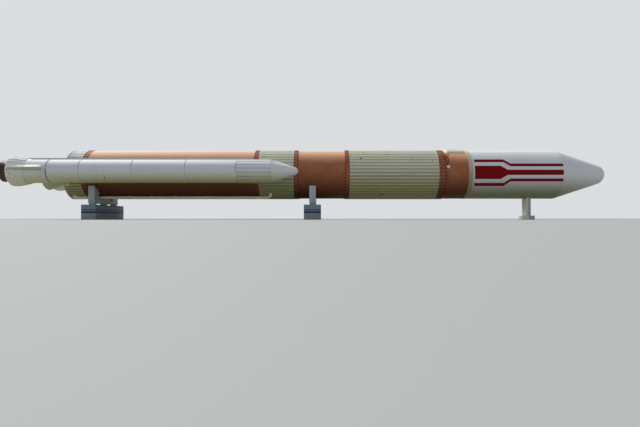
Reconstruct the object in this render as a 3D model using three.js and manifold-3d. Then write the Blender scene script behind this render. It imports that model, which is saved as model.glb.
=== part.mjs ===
// A space rocket lying on its display supports, built at half size: a foam-covered core stage with an
// upper stage and a fairing, two white solid boosters, gimballed nozzles and concrete supports.
// Millimetres, +X to the nose, +Y to the left side, +Z up; the origin is on the floor under the middle.
import * as THREE from "three";
import { mergeVertices } from "three/addons/utils/BufferGeometryUtils.js";
import Module from "manifold-3d";

const wasm = await Module();
wasm.setup();

// Driving dimensions, all at half size.
const gap = 0.3; // between two pieces that lie against each other
const axisHeight = 1875; // core axis over the floor
const coreRadius = 1000;
const ribHeight = 22; // stringers on the corrugated skins
const ribCount = 45;
const bandRadius = 1018;
const coreSides = 48;
const boosterSides = 32;
const boosterOffset = 1550; // booster axis from the core axis, sideways
const boosterRadius = 452.5;

// Stations along the axis.
const station = {
  engineEnd: -10110,
  aftBand: -9390,
  hydrogenTank: -9190,
  rearBand: -2470,
  intertank: -2280,
  middleBand: -870,
  oxygenTank: -690,
  interstageBand: 1200,
  interstage: 1380,
  upperBand: 4960,
  upperTank: 5250,
  adapterRing: 6150,
  fairing: 6320,
  shoulder: 9920,
  noseTip: 12060,
};

const nose = { tipRadius: 416 };
const engine = {
  recessDepth: 220,
  recessRadius: 900,
  shieldStart: -10095,
  shieldThickness: 20,
  shieldHole: 200,
  pivot: -9970,
  throat: -10230,
  exit: -11190,
  exitRadius: 630,
  throatRadius: 110,
  chamberRadius: 160,
  wall: 14,
  domeBack: 75, // the dome's front behind the pivot
  domeThickness: 30,
  chamberWall: 25,
};
const booster = {
  exit: -12060,
  exitRadius: 410,
  rim: -11680,
  rimRadius: 567.5,
  flareEnd: -11460,
  flareStart: -10900,
  aftRing: -10232,
  ringHalf: 38,
  ringRadius: 474,
  joints: [-9010, -7000, -4960],
  lipRadius: 458,
  lipLength: 34,
  forwardSkirt: -3000,
  cone: -1672,
  tip: -658,
  tipRadius: 150,
  skirtWall: 20,
  pivot: -10700,
};
const support = {
  blockWidth: 2700,
  blockHeight: 590,
  saddleLength: 260,
  saddleFoot: 60,
  saddleHalfWidth: 1110,
  saddleTop: 1350,
  slantDistance: 1140, // the slanting inner faces' distance from the core axis
  cradleDepth: 1017, // the cradle's flat middle below the core axis
  cradleHalf: 350,
  notchDepth: 1085, // the notches beside it, the right one for the feed line
  notchLean: 35,
  footPlaces: [-990, 0, 990],
  footWidth: 170,
  footInset: 30,
  padWidth: 320,
  padSink: 10,
  padInset: 40,
  padLap: 30, // how far a pad reaches into the saddle
  frontX: 8842,
};

const finish = {
  foam: { color: 0xb07054, roughness: 0.85, metalness: 0 },
  band: { color: 0x96503c, roughness: 0.8, metalness: 0 },
  primer: { color: 0xc8c8b2, roughness: 0.6, metalness: 0 },
  white: { color: 0xd8dcde, roughness: 0.45, metalness: 0 },
  grey: { color: 0x9aa0a6, roughness: 0.5, metalness: 0 },
  nozzle: { color: 0x4a2428, roughness: 0.7, metalness: 0 },
  steel: { color: 0x8a8d90, roughness: 0.45, metalness: 0.7 },
  concrete: { color: 0x9aa2a8, roughness: 0.9, metalness: 0 },
};

const rocket = new THREE.Group();
rocket.position.z = axisHeight;
const assembly = new THREE.Group();
assembly.add(rocket);

function addPiece(parent, name, geometry, look) {
  const piece = new THREE.Mesh(geometry, new THREE.MeshStandardMaterial(finish[look]));
  piece.name = name;
  parent.add(piece);
  return piece;
}

function solidFrom(geometry) {
  const bare = geometry.clone();
  bare.deleteAttribute("normal");
  bare.deleteAttribute("uv");
  const merged = mergeVertices(bare, 1e-3);
  return new wasm.Manifold(
    new wasm.Mesh({
      numProp: 3,
      vertProperties: merged.attributes.position.array,
      triVerts: new Uint32Array(merged.index.array),
    }),
  );
}

function geometryFrom(solid) {
  const mesh = solid.getMesh();
  const made = new THREE.BufferGeometry();
  made.setAttribute("position", new THREE.BufferAttribute(mesh.vertProperties, 3));
  made.setIndex(new THREE.BufferAttribute(mesh.triVerts, 1));
  made.computeVertexNormals();
  return made;
}

// A profile of [x, radius] points turned about the X axis; it runs from the tail to the nose outside.
function turned(profile, sides) {
  const points = profile.map(([x, radius]) => new THREE.Vector2(radius, x));
  return new THREE.LatheGeometry(points, sides).rotateZ(-Math.PI / 2);
}

function disc(start, end, radius, sides) {
  return turned([[start, 0], [start, radius], [end, radius], [end, 0]], sides);
}

// A cutter whose flats stand clear of a round or ribbed body of the given radius.
function clearOf(start, end, radius, sides) {
  return disc(start, end, radius / Math.cos(Math.PI / sides), sides);
}

// A flat shape drawn in (y, z), drawn out along X from start to end.
const toCrossSection = new THREE.Matrix4().makeBasis(
  new THREE.Vector3(0, 1, 0),
  new THREE.Vector3(0, 0, 1),
  new THREE.Vector3(1, 0, 0),
);
function drawnOut(shape, start, end) {
  const made = new THREE.ExtrudeGeometry(shape, { depth: end - start, bevelEnabled: false, curveSegments: 6 });
  return made.applyMatrix4(toCrossSection).translate(start, 0, 0);
}

function box(lengthX, widthY, heightZ, x, y, z) {
  return new THREE.BoxGeometry(lengthX, widthY, heightZ).translate(x, y, z);
}

// A round pin between two points.
function pin(from, to, radius, sides = 16) {
  const start = new THREE.Vector3(...from);
  const way = new THREE.Vector3(...to).sub(start);
  const made = new THREE.CylinderGeometry(radius, radius, way.length(), sides);
  made.translate(0, way.length() / 2, 0);
  made.applyQuaternion(
    new THREE.Quaternion().setFromUnitVectors(new THREE.Vector3(0, 1, 0), way.normalize()),
  );
  return made.translate(start.x, start.y, start.z);
}

function joined(first, ...rest) {
  return geometryFrom(rest.reduce((sum, next) => sum.add(solidFrom(next)), solidFrom(first)));
}

function cut(first, ...rest) {
  return geometryFrom(rest.reduce((sum, next) => sum.subtract(solidFrom(next)), solidFrom(first)));
}

// A blunt cone: straight from the base to where it meets a round tip without a corner.
function bluntCone(baseX, baseRadius, tipX, tipRadius, arcSteps) {
  const centre = tipX - tipRadius;
  const reach = Math.hypot(centre - baseX, baseRadius);
  const slope = Math.atan2(baseRadius, centre - baseX) - Math.asin(tipRadius / reach);
  const profile = [[baseX, 0], [baseX, baseRadius]];
  for (let step = 0; step <= arcSteps; step++) {
    const angle = (Math.PI / 2 - slope) * (1 - step / arcSteps);
    profile.push([centre + tipRadius * Math.cos(angle), step < arcSteps ? tipRadius * Math.sin(angle) : 0]);
  }
  return profile;
}

// A round skin with raised ribs along it, each rib a low trapezium.
function ribbedShape(radius, height, count, baseShare, topShare) {
  const shape = new THREE.Shape();
  const pitch = (2 * Math.PI) / count;
  const corners = [
    [-baseShare / 2, radius],
    [-topShare / 2, radius + height],
    [topShare / 2, radius + height],
    [baseShare / 2, radius],
  ];
  for (let rib = 0; rib < count; rib++) {
    for (const [share, distance] of corners) {
      const angle = (rib + share) * pitch;
      const place = [distance * Math.cos(angle), distance * Math.sin(angle)];
      if (rib === 0 && share === corners[0][0]) shape.moveTo(...place);
      else shape.lineTo(...place);
    }
  }
  shape.closePath();
  return shape;
}

// Core stage

const ribbed = ribbedShape(coreRadius, ribHeight, ribCount, 0.62, 0.34);

function skin(name, start, end) {
  addPiece(rocket, name, drawnOut(ribbed, start + gap, end), "primer");
}

// name, start, end, radius, look
const rounds = [
  ["aft_band", station.aftBand, station.hydrogenTank, bandRadius, "band"],
  ["hydrogen_tank", station.hydrogenTank, station.rearBand, coreRadius, "foam"],
  ["rear_band", station.rearBand, station.intertank, bandRadius, "band"],
  ["middle_band", station.middleBand, station.oxygenTank, bandRadius, "band"],
  ["oxygen_tank", station.oxygenTank, station.interstageBand, coreRadius, "foam"],
  ["interstage_band", station.interstageBand, station.interstage, bandRadius, "band"],
  ["upper_band", station.upperBand, station.upperTank, bandRadius, "band"],
  ["upper_tank", station.upperTank, station.adapterRing, coreRadius, "foam"],
  ["adapter_ring", station.adapterRing, station.fairing, coreRadius + 6, "primer"],
  ["fairing_cylinder", station.fairing, station.shoulder, coreRadius, "white"],
];
for (const [name, start, end, radius, look] of rounds) {
  addPiece(rocket, name, disc(start + gap, end, radius, coreSides), look);
}
skin("intertank", station.intertank, station.middleBand);
skin("interstage", station.interstage, station.upperBand);
addPiece(
  rocket,
  "fairing_nose",
  turned(bluntCone(station.shoulder + gap, coreRadius, station.noseTip, nose.tipRadius, 8), coreSides),
  "white",
);

// Engine section: a ribbed skin with a plain end flange and an open recess that holds the engine
const endFlange = { length: 90, radius: 1030 };
const recessEnd = station.engineEnd + engine.recessDepth;
addPiece(
  rocket,
  "engine_section",
  cut(
    joined(
      drawnOut(ribbed, station.engineEnd + endFlange.length, station.aftBand),
      disc(station.engineEnd, station.engineEnd + endFlange.length + 1, endFlange.radius, coreSides),
    ),
    disc(station.engineEnd - 10, recessEnd, engine.recessRadius, coreSides),
  ),
  "primer",
);
addPiece(
  rocket,
  "heat_shield",
  turned(
    [
      [engine.shieldStart, engine.shieldHole],
      [engine.shieldStart, engine.recessRadius - gap],
      [engine.shieldStart + engine.shieldThickness, engine.recessRadius - gap],
      [engine.shieldStart + engine.shieldThickness, engine.shieldHole],
      [engine.shieldStart, engine.shieldHole],
    ],
    coreSides,
  ),
  "grey",
);

// Gimbal of the main engine: a clevis on the recess floor, a cross with four pins, and the engine's clevis
const gimbal = {
  block: 40,
  pinRadius: 16,
  pinGap: 0.5,
  boreReach: 200,
  earInner: 60,
  earOuter: 90,
  earHalf: 32,
  base: 20,
  baseRadius: 150,
};

// Two ears across an axis, "y" or "z", from a flat plate to round ends about the pivot.
function ears(axis, plateX) {
  const made = [];
  for (const sign of [-1, 1]) {
    const middle = (sign * (gimbal.earInner + gimbal.earOuter)) / 2;
    const thick = gimbal.earOuter - gimbal.earInner;
    const length = Math.abs(plateX - engine.pivot);
    const x = (plateX + engine.pivot) / 2;
    const from = sign * gimbal.earInner;
    const to = sign * gimbal.earOuter;
    if (axis === "y") {
      made.push(box(length, thick, 2 * gimbal.earHalf, x, middle, 0));
      made.push(pin([engine.pivot, from, 0], [engine.pivot, to, 0], gimbal.earHalf));
    } else {
      made.push(box(length, 2 * gimbal.earHalf, thick, x, 0, middle));
      made.push(pin([engine.pivot, 0, from], [engine.pivot, 0, to], gimbal.earHalf));
    }
  }
  return made;
}

function pinAcross(axis, reach, radius) {
  return axis === "y"
    ? pin([engine.pivot, -reach, 0], [engine.pivot, reach, 0], radius)
    : pin([engine.pivot, 0, -reach], [engine.pivot, 0, reach], radius);
}

const clevisFloor = recessEnd - gap;
addPiece(
  rocket,
  "engine_mount",
  cut(
    joined(
      disc(clevisFloor - gimbal.base, clevisFloor, gimbal.baseRadius, 32),
      ...ears("y", clevisFloor - gimbal.base / 2),
    ),
    pinAcross("y", gimbal.boreReach, gimbal.pinRadius + gimbal.pinGap),
  ),
  "steel",
);
addPiece(
  rocket,
  "engine_gimbal",
  joined(
    box(2 * gimbal.block, 2 * gimbal.block, 2 * gimbal.block, engine.pivot, 0, 0),
    pinAcross("y", gimbal.earOuter, gimbal.pinRadius),
    pinAcross("z", gimbal.earOuter, gimbal.pinRadius),
  ),
  "steel",
);

// A bell widens from the throat to the exit along a parabola that is steep first and flat last.
function bellCurve(throatX, throatRadius, exitX, exitRadius, steps) {
  const points = [];
  for (let step = 0; step <= steps; step++) {
    const along = step / steps;
    points.push([
      throatX + (exitX - throatX) * along,
      throatRadius + (exitRadius - throatRadius) * (1.55 * along - 0.55 * along * along),
    ]);
  }
  return points;
}

const domeFront = engine.pivot - engine.domeBack;
const domeRear = domeFront - engine.domeThickness;
const chamberInside = engine.chamberRadius - engine.chamberWall;
const bellOuter = bellCurve(engine.throat, engine.throatRadius, engine.exit, engine.exitRadius, 6);
const bellInner = bellCurve(
  engine.throat,
  engine.throatRadius - engine.wall,
  engine.exit,
  engine.exitRadius - engine.wall,
  6,
);
const engineProfile = [
  ...bellOuter.slice().reverse(),
  [engine.throat + 70, engine.chamberRadius],
  [domeFront, engine.chamberRadius],
  [domeFront, 0],
  [domeRear, 0],
  [domeRear, chamberInside],
  [engine.throat + 75, chamberInside],
  ...bellInner,
  [engine.exit, engine.exitRadius],
];
addPiece(
  rocket,
  "engine_bell",
  cut(
    joined(turned(engineProfile, 40), ...ears("z", domeFront - 10)),
    pinAcross("z", gimbal.boreReach, gimbal.pinRadius + gimbal.pinGap),
  ),
  "primer",
);

// Feed line: one round pipe along the lower right side, let into the skins at both ends
const feed = { radius: 62.5, distance: 1090, angle: 26, start: -9862, end: -1738, shoe: 80 };
const feedAngle = THREE.MathUtils.degToRad(feed.angle);
const feedY = -feed.distance * Math.sin(feedAngle);
const feedZ = -feed.distance * Math.cos(feedAngle);
const feedCutter = drawnOut(
  ribbedShape(coreRadius + 0.5, ribHeight, ribCount, 0.66, 0.38),
  station.engineEnd,
  station.upperBand,
);
const feedPieces = [pin([feed.start, feedY, feedZ], [feed.end, feedY, feedZ], feed.radius, 16)];
for (const x of [feed.start, feed.end]) {
  feedPieces.push(new THREE.SphereGeometry(feed.shoe, 16, 8).translate(x, feedY, feedZ));
  feedPieces.push(pin([x, feedY, feedZ], [x, feedY * 0.9, feedZ * 0.9], feed.shoe, 16));
}
addPiece(rocket, "feed_line", cut(joined(...feedPieces), feedCutter), "primer");

// A curved plate about the core axis between two radii and two angles, measured from +Y towards +Z
function curvedPlate(inner, outer, fromAngle, toAngle, start, end) {
  const shape = new THREE.Shape();
  const from = THREE.MathUtils.degToRad(fromAngle);
  const to = THREE.MathUtils.degToRad(toAngle);
  shape.absarc(0, 0, outer, from, to, false);
  shape.absarc(0, 0, inner, to, from, true);
  shape.closePath();
  return drawnOut(shape, start, end);
}

// Upper stage: a low tunnel hump over the tank's top and a small box on its side
const hump = { start: 5275, end: 6140, lowAngle: 87, highAngle: 125, height: 62 };
// The slanting cut at each end of the hump: a tilted box that sits over it
const slant = { length: 240, height: 200, angle: 0.5, inset: 160, lift: 42, rise: 100 };
const tankEnvelope = disc(station.upperTank - 400, station.fairing + 400, coreRadius + 1, coreSides);
const slantCut = (x, sign) =>
  box(slant.length, 3 * coreRadius, slant.height, 0, 0, slant.lift)
    .rotateY(sign * slant.angle)
    .translate(x - sign * slant.inset, 0, coreRadius + slant.rise);
addPiece(
  rocket,
  "tunnel_hump",
  cut(
    curvedPlate(coreRadius - 20, coreRadius + hump.height, hump.lowAngle, hump.highAngle, hump.start, hump.end),
    tankEnvelope,
    slantCut(hump.start, 1),
    slantCut(hump.end, -1),
  ),
  "primer",
);
const sideBox = { size: 125, x: 5320, elevation: 13, height: 60, depth: 200 };
const boxTurn = THREE.MathUtils.degToRad(sideBox.elevation);
addPiece(
  rocket,
  "side_box",
  cut(
    box(
      sideBox.size,
      sideBox.depth,
      sideBox.size,
      sideBox.x,
      -(coreRadius + sideBox.height - sideBox.depth / 2),
      0,
    ).rotateX(-boxTurn),
    tankEnvelope,
  ),
  "white",
);

// Boosters; side is -1 on the right and +1 on the left
const boosterOutline = [
  [booster.rim, booster.rimRadius],
  [booster.flareEnd, booster.rimRadius],
  [booster.flareStart, boosterRadius],
  [booster.aftRing, boosterRadius],
  [booster.cone, boosterRadius],
];
function boosterEnvelope(extra) {
  const solids = [
    turned(
      [
        [booster.rim - 200, 0],
        ...boosterOutline.map(([x, radius], index) => [index ? x : x - 200, radius + extra]),
        [booster.cone, 0],
      ],
      boosterSides,
    ),
    disc(
      booster.aftRing - booster.ringHalf - extra,
      booster.aftRing + booster.ringHalf + extra,
      booster.ringRadius + extra,
      boosterSides,
    ),
    disc(booster.forwardSkirt - 200, booster.cone + 200, boosterRadius + 10 + extra, boosterSides),
  ];
  for (const x of booster.joints) {
    solids.push(disc(x - booster.lipLength - extra, x + extra, booster.lipRadius + extra, boosterSides));
  }
  return joined(...solids);
}

function aftSkirt() {
  const inner = booster.skirtWall;
  const shell = turned(
    [
      [booster.rim, booster.rimRadius],
      [booster.flareEnd, booster.rimRadius],
      [booster.flareStart, boosterRadius],
      [booster.aftRing - booster.ringHalf - gap, boosterRadius],
      [booster.aftRing - booster.ringHalf - gap, boosterRadius - inner],
      [booster.flareStart, boosterRadius - inner],
      [booster.flareEnd, booster.rimRadius - inner],
      [booster.rim, booster.rimRadius - inner],
      [booster.rim, booster.rimRadius],
    ],
    boosterSides,
  );
  const boreRadius = boosterGimbal.pin + boosterGimbal.pinGap;
  const bosses = [-1, 1].map((way) =>
    pin([booster.pivot, way * boss.start, 0], [booster.pivot, way * boss.end, 0], boss.radius),
  );
  const bores = [-1, 1].map((way) =>
    pin([booster.pivot, way * boss.boreStart, 0], [booster.pivot, way * boss.boreEnd, 0], boreRadius),
  );
  return cut(joined(shell, ...bosses), ...bores);
}

const boss = { start: 300, end: 444.5, radius: 55, boreStart: 290, boreEnd: 402 };
const boosterGimbal = {
  ringInner: 200,
  ringOuter: 262,
  half: 42,
  pin: 22,
  pinGap: 0.5,
  pinStart: 220,
  pinReach: 401,
  nozzlePinStart: 155,
  nozzlePinEnd: 244,
  boreReach: 245,
};

function bearingRing() {
  const { ringInner, ringOuter, half, pinStart, pinReach, boreReach } = boosterGimbal;
  const ring = turned(
    [
      [booster.pivot - half, ringInner],
      [booster.pivot - half, ringOuter],
      [booster.pivot + half, ringOuter],
      [booster.pivot + half, ringInner],
      [booster.pivot - half, ringInner],
    ],
    boosterSides,
  );
  const pins = [-1, 1].map((way) =>
    pin([booster.pivot, way * pinStart, 0], [booster.pivot, way * pinReach, 0], boosterGimbal.pin),
  );
  const bore = pin(
    [booster.pivot, 0, -boreReach],
    [booster.pivot, 0, boreReach],
    boosterGimbal.pin + boosterGimbal.pinGap,
  );
  return cut(joined(ring, ...pins), bore);
}

const boosterThroat = { front: -10575, frontRadius: 170, x: -10760, radius: 165, wall: 24 };
function boosterNozzle() {
  const { front, frontRadius, x, radius, wall } = boosterThroat;
  const cone = [];
  for (let step = 0; step <= 4; step++) {
    const along = step / 4;
    cone.push([
      x + (booster.exit - x) * along,
      radius + (booster.exitRadius - radius) * (1.2 * along - 0.2 * along * along),
    ]);
  }
  const profile = [
    ...cone.slice().reverse(),
    [front, frontRadius],
    [front, frontRadius - wall],
    ...cone.map(([along, distance]) => [along, distance - wall]),
    [booster.exit, booster.exitRadius],
  ];
  const pins = [-1, 1].map((way) =>
    pin(
      [booster.pivot, 0, way * boosterGimbal.nozzlePinStart],
      [booster.pivot, 0, way * boosterGimbal.nozzlePinEnd],
      boosterGimbal.pin,
    ),
  );
  return joined(turned(profile, boosterSides), ...pins);
}

// Sizes of the domed end, measured back from the middle of the aft ring
const dome = { tip: 290, flatRadius: 200, shoulder: 210, shoulderRadius: 330, rim: 60, clearance: 6 };
// Each case runs to a joint, where a raised lip closes it; the rearmost has the domed end in the skirt.
function boosterCase(start, end, lip, domed) {
  const profile = [];
  if (domed) {
    const domeEdge = boosterRadius - booster.skirtWall - dome.clearance;
    profile.push([booster.aftRing - dome.tip, 0], [booster.aftRing - dome.tip, dome.flatRadius]);
    profile.push([booster.aftRing - dome.shoulder, dome.shoulderRadius]);
    profile.push([booster.aftRing - booster.ringHalf - dome.rim, domeEdge]);
    profile.push([start, domeEdge], [start, boosterRadius]);
  } else {
    profile.push([start, 0], [start, boosterRadius]);
  }
  if (lip) {
    profile.push([end - booster.lipLength, boosterRadius], [end - booster.lipLength, booster.lipRadius]);
    profile.push([end, booster.lipRadius], [end, 0]);
  } else {
    profile.push([end, boosterRadius], [end, 0]);
  }
  return turned(profile, boosterSides);
}

function radialBox({ start, end, distance, depth, width }, angle) {
  // angle is measured from +Y towards +Z
  return box(end - start, depth, width, (start + end) / 2, distance - depth / 2, 0).rotateX(
    THREE.MathUtils.degToRad(angle),
  );
}

const panel = { sink: 4, height: 12, count: 18, baseShare: 0.8, topShare: 0.7 };
const tunnel = { start: -11250, end: -2400, distance: 525, width: 110, depth: 120, lean: 10 };
const housing = { start: -11640, end: -10340, distance: 605, width: 178, depth: 300, elevation: 13 };
const frontStrut = { x: -2000, length: 360, reach: 330, height: 150, fromCore: 60 };
const aftRod = { radius: 34, inboard: 210, lowZ: 400, highZ: 425, highX: 170, coreDistance: 900 };
const aftPad = { halfAngle: 30, thickness: 55, start: 60, end: 280 };
const coreEnvelope = joined(
  clearOf(station.engineEnd - 400, station.interstage, coreRadius + ribHeight + 0.5, coreSides),
  clearOf(station.engineEnd - 0.5, station.engineEnd + endFlange.length + 1, endFlange.radius + 0.5, coreSides),
);

for (const [name, side] of [
  ["right", -1],
  ["left", 1],
]) {
  const group = new THREE.Group();
  group.position.y = side * boosterOffset;
  rocket.add(group);
  const envelope = boosterEnvelope(0.6);
  const coreFromHere = coreEnvelope.clone().translate(0, -side * boosterOffset, 0);

  addPiece(group, `${name}_aft_skirt`, aftSkirt(), "white");
  addPiece(group, `${name}_nozzle_ring`, bearingRing(), "steel");
  addPiece(group, `${name}_nozzle`, boosterNozzle(), "nozzle");
  addPiece(
    group,
    `${name}_aft_ring`,
    turned(
      [
        [booster.aftRing - booster.ringHalf, boosterRadius - booster.skirtWall],
        [booster.aftRing - booster.ringHalf, booster.ringRadius],
        [booster.aftRing + booster.ringHalf, booster.ringRadius],
        [booster.aftRing + booster.ringHalf, boosterRadius - booster.skirtWall],
        [booster.aftRing - booster.ringHalf, boosterRadius - booster.skirtWall],
      ],
      boosterSides,
    ),
    "steel",
  );
  const ends = [booster.aftRing + booster.ringHalf, ...booster.joints, booster.forwardSkirt];
  for (let part = 0; part < 4; part++) {
    addPiece(
      group,
      `${name}_case_${part + 1}`,
      boosterCase(ends[part] + gap, ends[part + 1], part < 3, part === 0),
      "white",
    );
  }
  addPiece(
    group,
    `${name}_forward_skirt`,
    drawnOut(
      ribbedShape(boosterRadius - panel.sink, panel.height, panel.count, panel.baseShare, panel.topShare),
      booster.forwardSkirt + gap,
      booster.cone,
    ),
    "white",
  );
  addPiece(
    group,
    `${name}_nose_cone`,
    turned(bluntCone(booster.cone + gap, boosterRadius, booster.tip, booster.tipRadius, 6), boosterSides),
    "white",
  );
  addPiece(
    group,
    `${name}_cable_tunnel`,
    cut(radialBox(tunnel, 90 + side * tunnel.lean), envelope),
    "grey",
  );
  addPiece(
    group,
    `${name}_side_housing`,
    cut(radialBox(housing, side > 0 ? housing.elevation : 180 - housing.elevation), envelope),
    "white",
  );

  // Struts to the core: a thrust block at the front, and two rods on a shared pad at the back
  addPiece(
    group,
    `${name}_front_strut`,
    cut(
      box(
        frontStrut.length,
        frontStrut.reach,
        frontStrut.height,
        frontStrut.x,
        -side * (boosterOffset - coreRadius - frontStrut.fromCore),
        0,
      ),
      envelope,
      coreFromHere,
    ),
    "white",
  );
  const rods = [-1, 1].map((way) =>
    pin(
      [booster.aftRing, -side * aftRod.inboard, way * aftRod.lowZ],
      [station.engineEnd + aftRod.highX, -side * (boosterOffset - aftRod.coreDistance), way * aftRod.highZ],
      aftRod.radius,
    ),
  );
  const facing = side > 0 ? 0 : 180;
  const pad = curvedPlate(
    coreRadius,
    coreRadius + aftPad.thickness,
    facing - aftPad.halfAngle,
    facing + aftPad.halfAngle,
    station.engineEnd + aftPad.start,
    station.engineEnd + aftPad.end,
  ).translate(0, -side * boosterOffset, 0);
  addPiece(
    group,
    `${name}_aft_strut`,
    cut(joined(pad, ...rods), envelope, coreFromHere),
    "white",
  );
}

// Supports
function addSupport(name, x, blockLength) {
  addPiece(
    assembly,
    `${name}_block`,
    box(blockLength, support.blockWidth, support.blockHeight, x, 0, support.blockHeight / 2),
    "concrete",
  );
  const bottom = support.blockHeight + support.saddleFoot;
  const slantReach = support.slantDistance * Math.SQRT2;
  const cradleZ = axisHeight - support.cradleDepth;
  const notchZ = axisHeight - support.notchDepth;
  const half = [
    [support.saddleHalfWidth, bottom],
    [support.saddleHalfWidth, support.saddleTop],
    [slantReach - (axisHeight - support.saddleTop), support.saddleTop],
    [slantReach - support.notchDepth, notchZ],
    [support.cradleHalf + support.notchLean, notchZ],
    [support.cradleHalf, cradleZ],
  ];
  const mirrored = half.map(([y, z]) => [-y, z]).reverse();
  const shape = new THREE.Shape([...half, ...mirrored].map(([y, z]) => new THREE.Vector2(y, z)));
  const web = drawnOut(shape, x - support.saddleLength / 2, x + support.saddleLength / 2);
  const footLap = 5; // a foot reaches this far into the saddle
  const footHeight = support.saddleFoot - gap + footLap;
  const feet = support.footPlaces.map((y) =>
    box(
      support.saddleLength - support.footInset,
      support.footWidth,
      footHeight,
      x,
      y,
      support.blockHeight + gap + footHeight / 2,
    ),
  );
  const padDepth = support.slantDistance - coreRadius + support.padLap;
  const padMiddle = coreRadius - support.padSink + padDepth / 2;
  const pads = [-45, -135].map((angle) =>
    box(support.saddleLength - support.padInset, padDepth, support.padWidth, x, padMiddle, 0)
      .rotateX(THREE.MathUtils.degToRad(angle))
      .translate(0, 0, axisHeight),
  );
  const tank = disc(x - 500, x + 500, coreRadius + 0.5, coreSides).translate(0, 0, axisHeight);
  addPiece(assembly, `${name}_saddle`, cut(joined(web, ...feet, ...pads), tank), "concrete");
}
// name, place, length of the block
for (const [name, x, blockLength] of [
  ["rear", -8890, 590],
  ["middle", -110, 675],
]) {
  addSupport(name, x, blockLength);
}

const frontBase = { length: 440, width: 640, height: 165 };
const column = { length: 150, width: 535, recess: 42, recessWidth: 360, reach: 60 };
addPiece(
  assembly,
  "front_base",
  box(frontBase.length, frontBase.width, frontBase.height, support.frontX, 0, frontBase.height / 2),
  "concrete",
);
const columnTop = axisHeight - coreRadius + column.reach; // cut back to the belly below
const columnHeight = columnTop - frontBase.height - gap;
const columnMiddle = frontBase.height + gap + columnHeight / 2;
addPiece(
  assembly,
  "front_column",
  cut(
    box(column.length, column.width, columnHeight, support.frontX, 0, columnMiddle),
    ...[-1, 1].map((way) =>
      box(
        2 * column.recess,
        column.recessWidth,
        columnHeight + 10,
        support.frontX + (way * column.length) / 2,
        0,
        columnMiddle,
      ),
    ),
    disc(support.frontX - 500, support.frontX + 500, coreRadius + 0.5, coreSides).translate(0, 0, axisHeight),
  ),
  "concrete",
);

export default assembly;
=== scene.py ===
import math
import bpy
import bmesh
from mathutils import Matrix, Vector, noise


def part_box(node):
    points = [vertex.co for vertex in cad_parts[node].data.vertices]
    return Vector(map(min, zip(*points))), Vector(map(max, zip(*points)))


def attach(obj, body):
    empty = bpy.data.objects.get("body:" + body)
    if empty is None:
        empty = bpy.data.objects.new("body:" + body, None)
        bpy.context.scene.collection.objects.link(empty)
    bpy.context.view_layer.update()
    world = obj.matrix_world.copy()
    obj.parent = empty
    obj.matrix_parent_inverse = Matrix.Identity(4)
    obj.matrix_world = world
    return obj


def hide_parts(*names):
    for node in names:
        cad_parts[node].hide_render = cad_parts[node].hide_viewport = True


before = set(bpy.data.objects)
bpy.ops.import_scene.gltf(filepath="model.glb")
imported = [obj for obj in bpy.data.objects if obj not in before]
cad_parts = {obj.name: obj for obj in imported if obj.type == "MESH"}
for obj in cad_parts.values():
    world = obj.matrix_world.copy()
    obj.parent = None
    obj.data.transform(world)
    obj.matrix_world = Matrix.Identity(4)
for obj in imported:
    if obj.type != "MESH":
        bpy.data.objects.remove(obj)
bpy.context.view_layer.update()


def span(node):  # where a node starts and ends along the rocket
    low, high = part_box(node)
    return low.x, high.x


def middle(node):
    low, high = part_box(node)
    return (low + high) / 2


coreLow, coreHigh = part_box("hydrogen_tank")
coreRadius = (coreHigh.y - coreLow.y) / 2
coreAxis = Vector((0, 0, middle("hydrogen_tank").z))
caseLow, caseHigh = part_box("right_case_3")
jointLip = 0.0055  # how far the lip of a case's joint stands out
boosterRadius = (caseHigh.z - caseLow.z) / 2 - jointLip
boosterOffset = middle("left_case_3").y
boosterAxis = {"right": Vector((0, -boosterOffset, coreAxis.z)),
               "left": Vector((0, boosterOffset, coreAxis.z))}
print("frame loaded: core radius", round(coreRadius, 3), "booster radius", round(boosterRadius, 4))


# Shapes: each maker gives a bmesh about the X axis, and makePiece joins a list of them

def turned(outline, steps=96, closed=False):  # outline of (x, radius) points, spun round X
    part = bmesh.new()
    points = [part.verts.new((x, 0, radius)) for x, radius in outline]
    ring = points + points[:1] if closed else points
    edges = [part.edges.new(pair) for pair in zip(ring, ring[1:])]
    bmesh.ops.spin(part, geom=points + edges, axis=(1, 0, 0), cent=(0, 0, 0), angle=math.tau, steps=steps,
                   use_merge=True)
    bmesh.ops.remove_doubles(part, verts=part.verts, dist=0.00001)
    return part


def ringOf(start, end, inner, outer, edge=0.002, steps=96):  # a plain ring with broken edges
    outline = [(start, inner), (start, outer - edge), (start + edge, outer), (end - edge, outer),
               (end, outer - edge), (end, inner)]
    return turned(outline, steps, closed=True)


def newVerts(made):
    return [item for item in made["geom"] if isinstance(item, bmesh.types.BMVert)]


def extruded(corners, way):  # a closed outline, made a solid
    part = bmesh.new()
    face = part.faces.new([part.verts.new(corner) for corner in corners])
    made = bmesh.ops.extrude_face_region(part, geom=[face])
    bmesh.ops.translate(part, verts=newVerts(made), vec=way)
    return part


def drawnOut(points, start, end):  # an outline of (y, z) points, drawn out along X
    return extruded([(start, y, z) for y, z in points], (end - start, 0, 0))


def lofted(stations):  # closed outlines of (y, z) points at steps along X, joined into one solid
    part = bmesh.new()
    rings = [[part.verts.new((x, y, z)) for y, z in outline] for x, outline in stations]
    for first, second in zip(rings, rings[1:]):
        for number in range(len(first)):
            after = (number + 1) % len(first)
            part.faces.new([first[number], first[after], second[after], second[number]])
    part.faces.new(rings[0])
    part.faces.new(rings[-1])
    return part


def fin(points, width, bevel):  # an outline of (x, distance) points, made wide across
    return bevelled(extruded([(x, -width / 2, distance) for x, distance in points], (0, width, 0)), bevel)


sharpEdge = math.radians(30)  # edges sharper than this are bevelled


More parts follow.
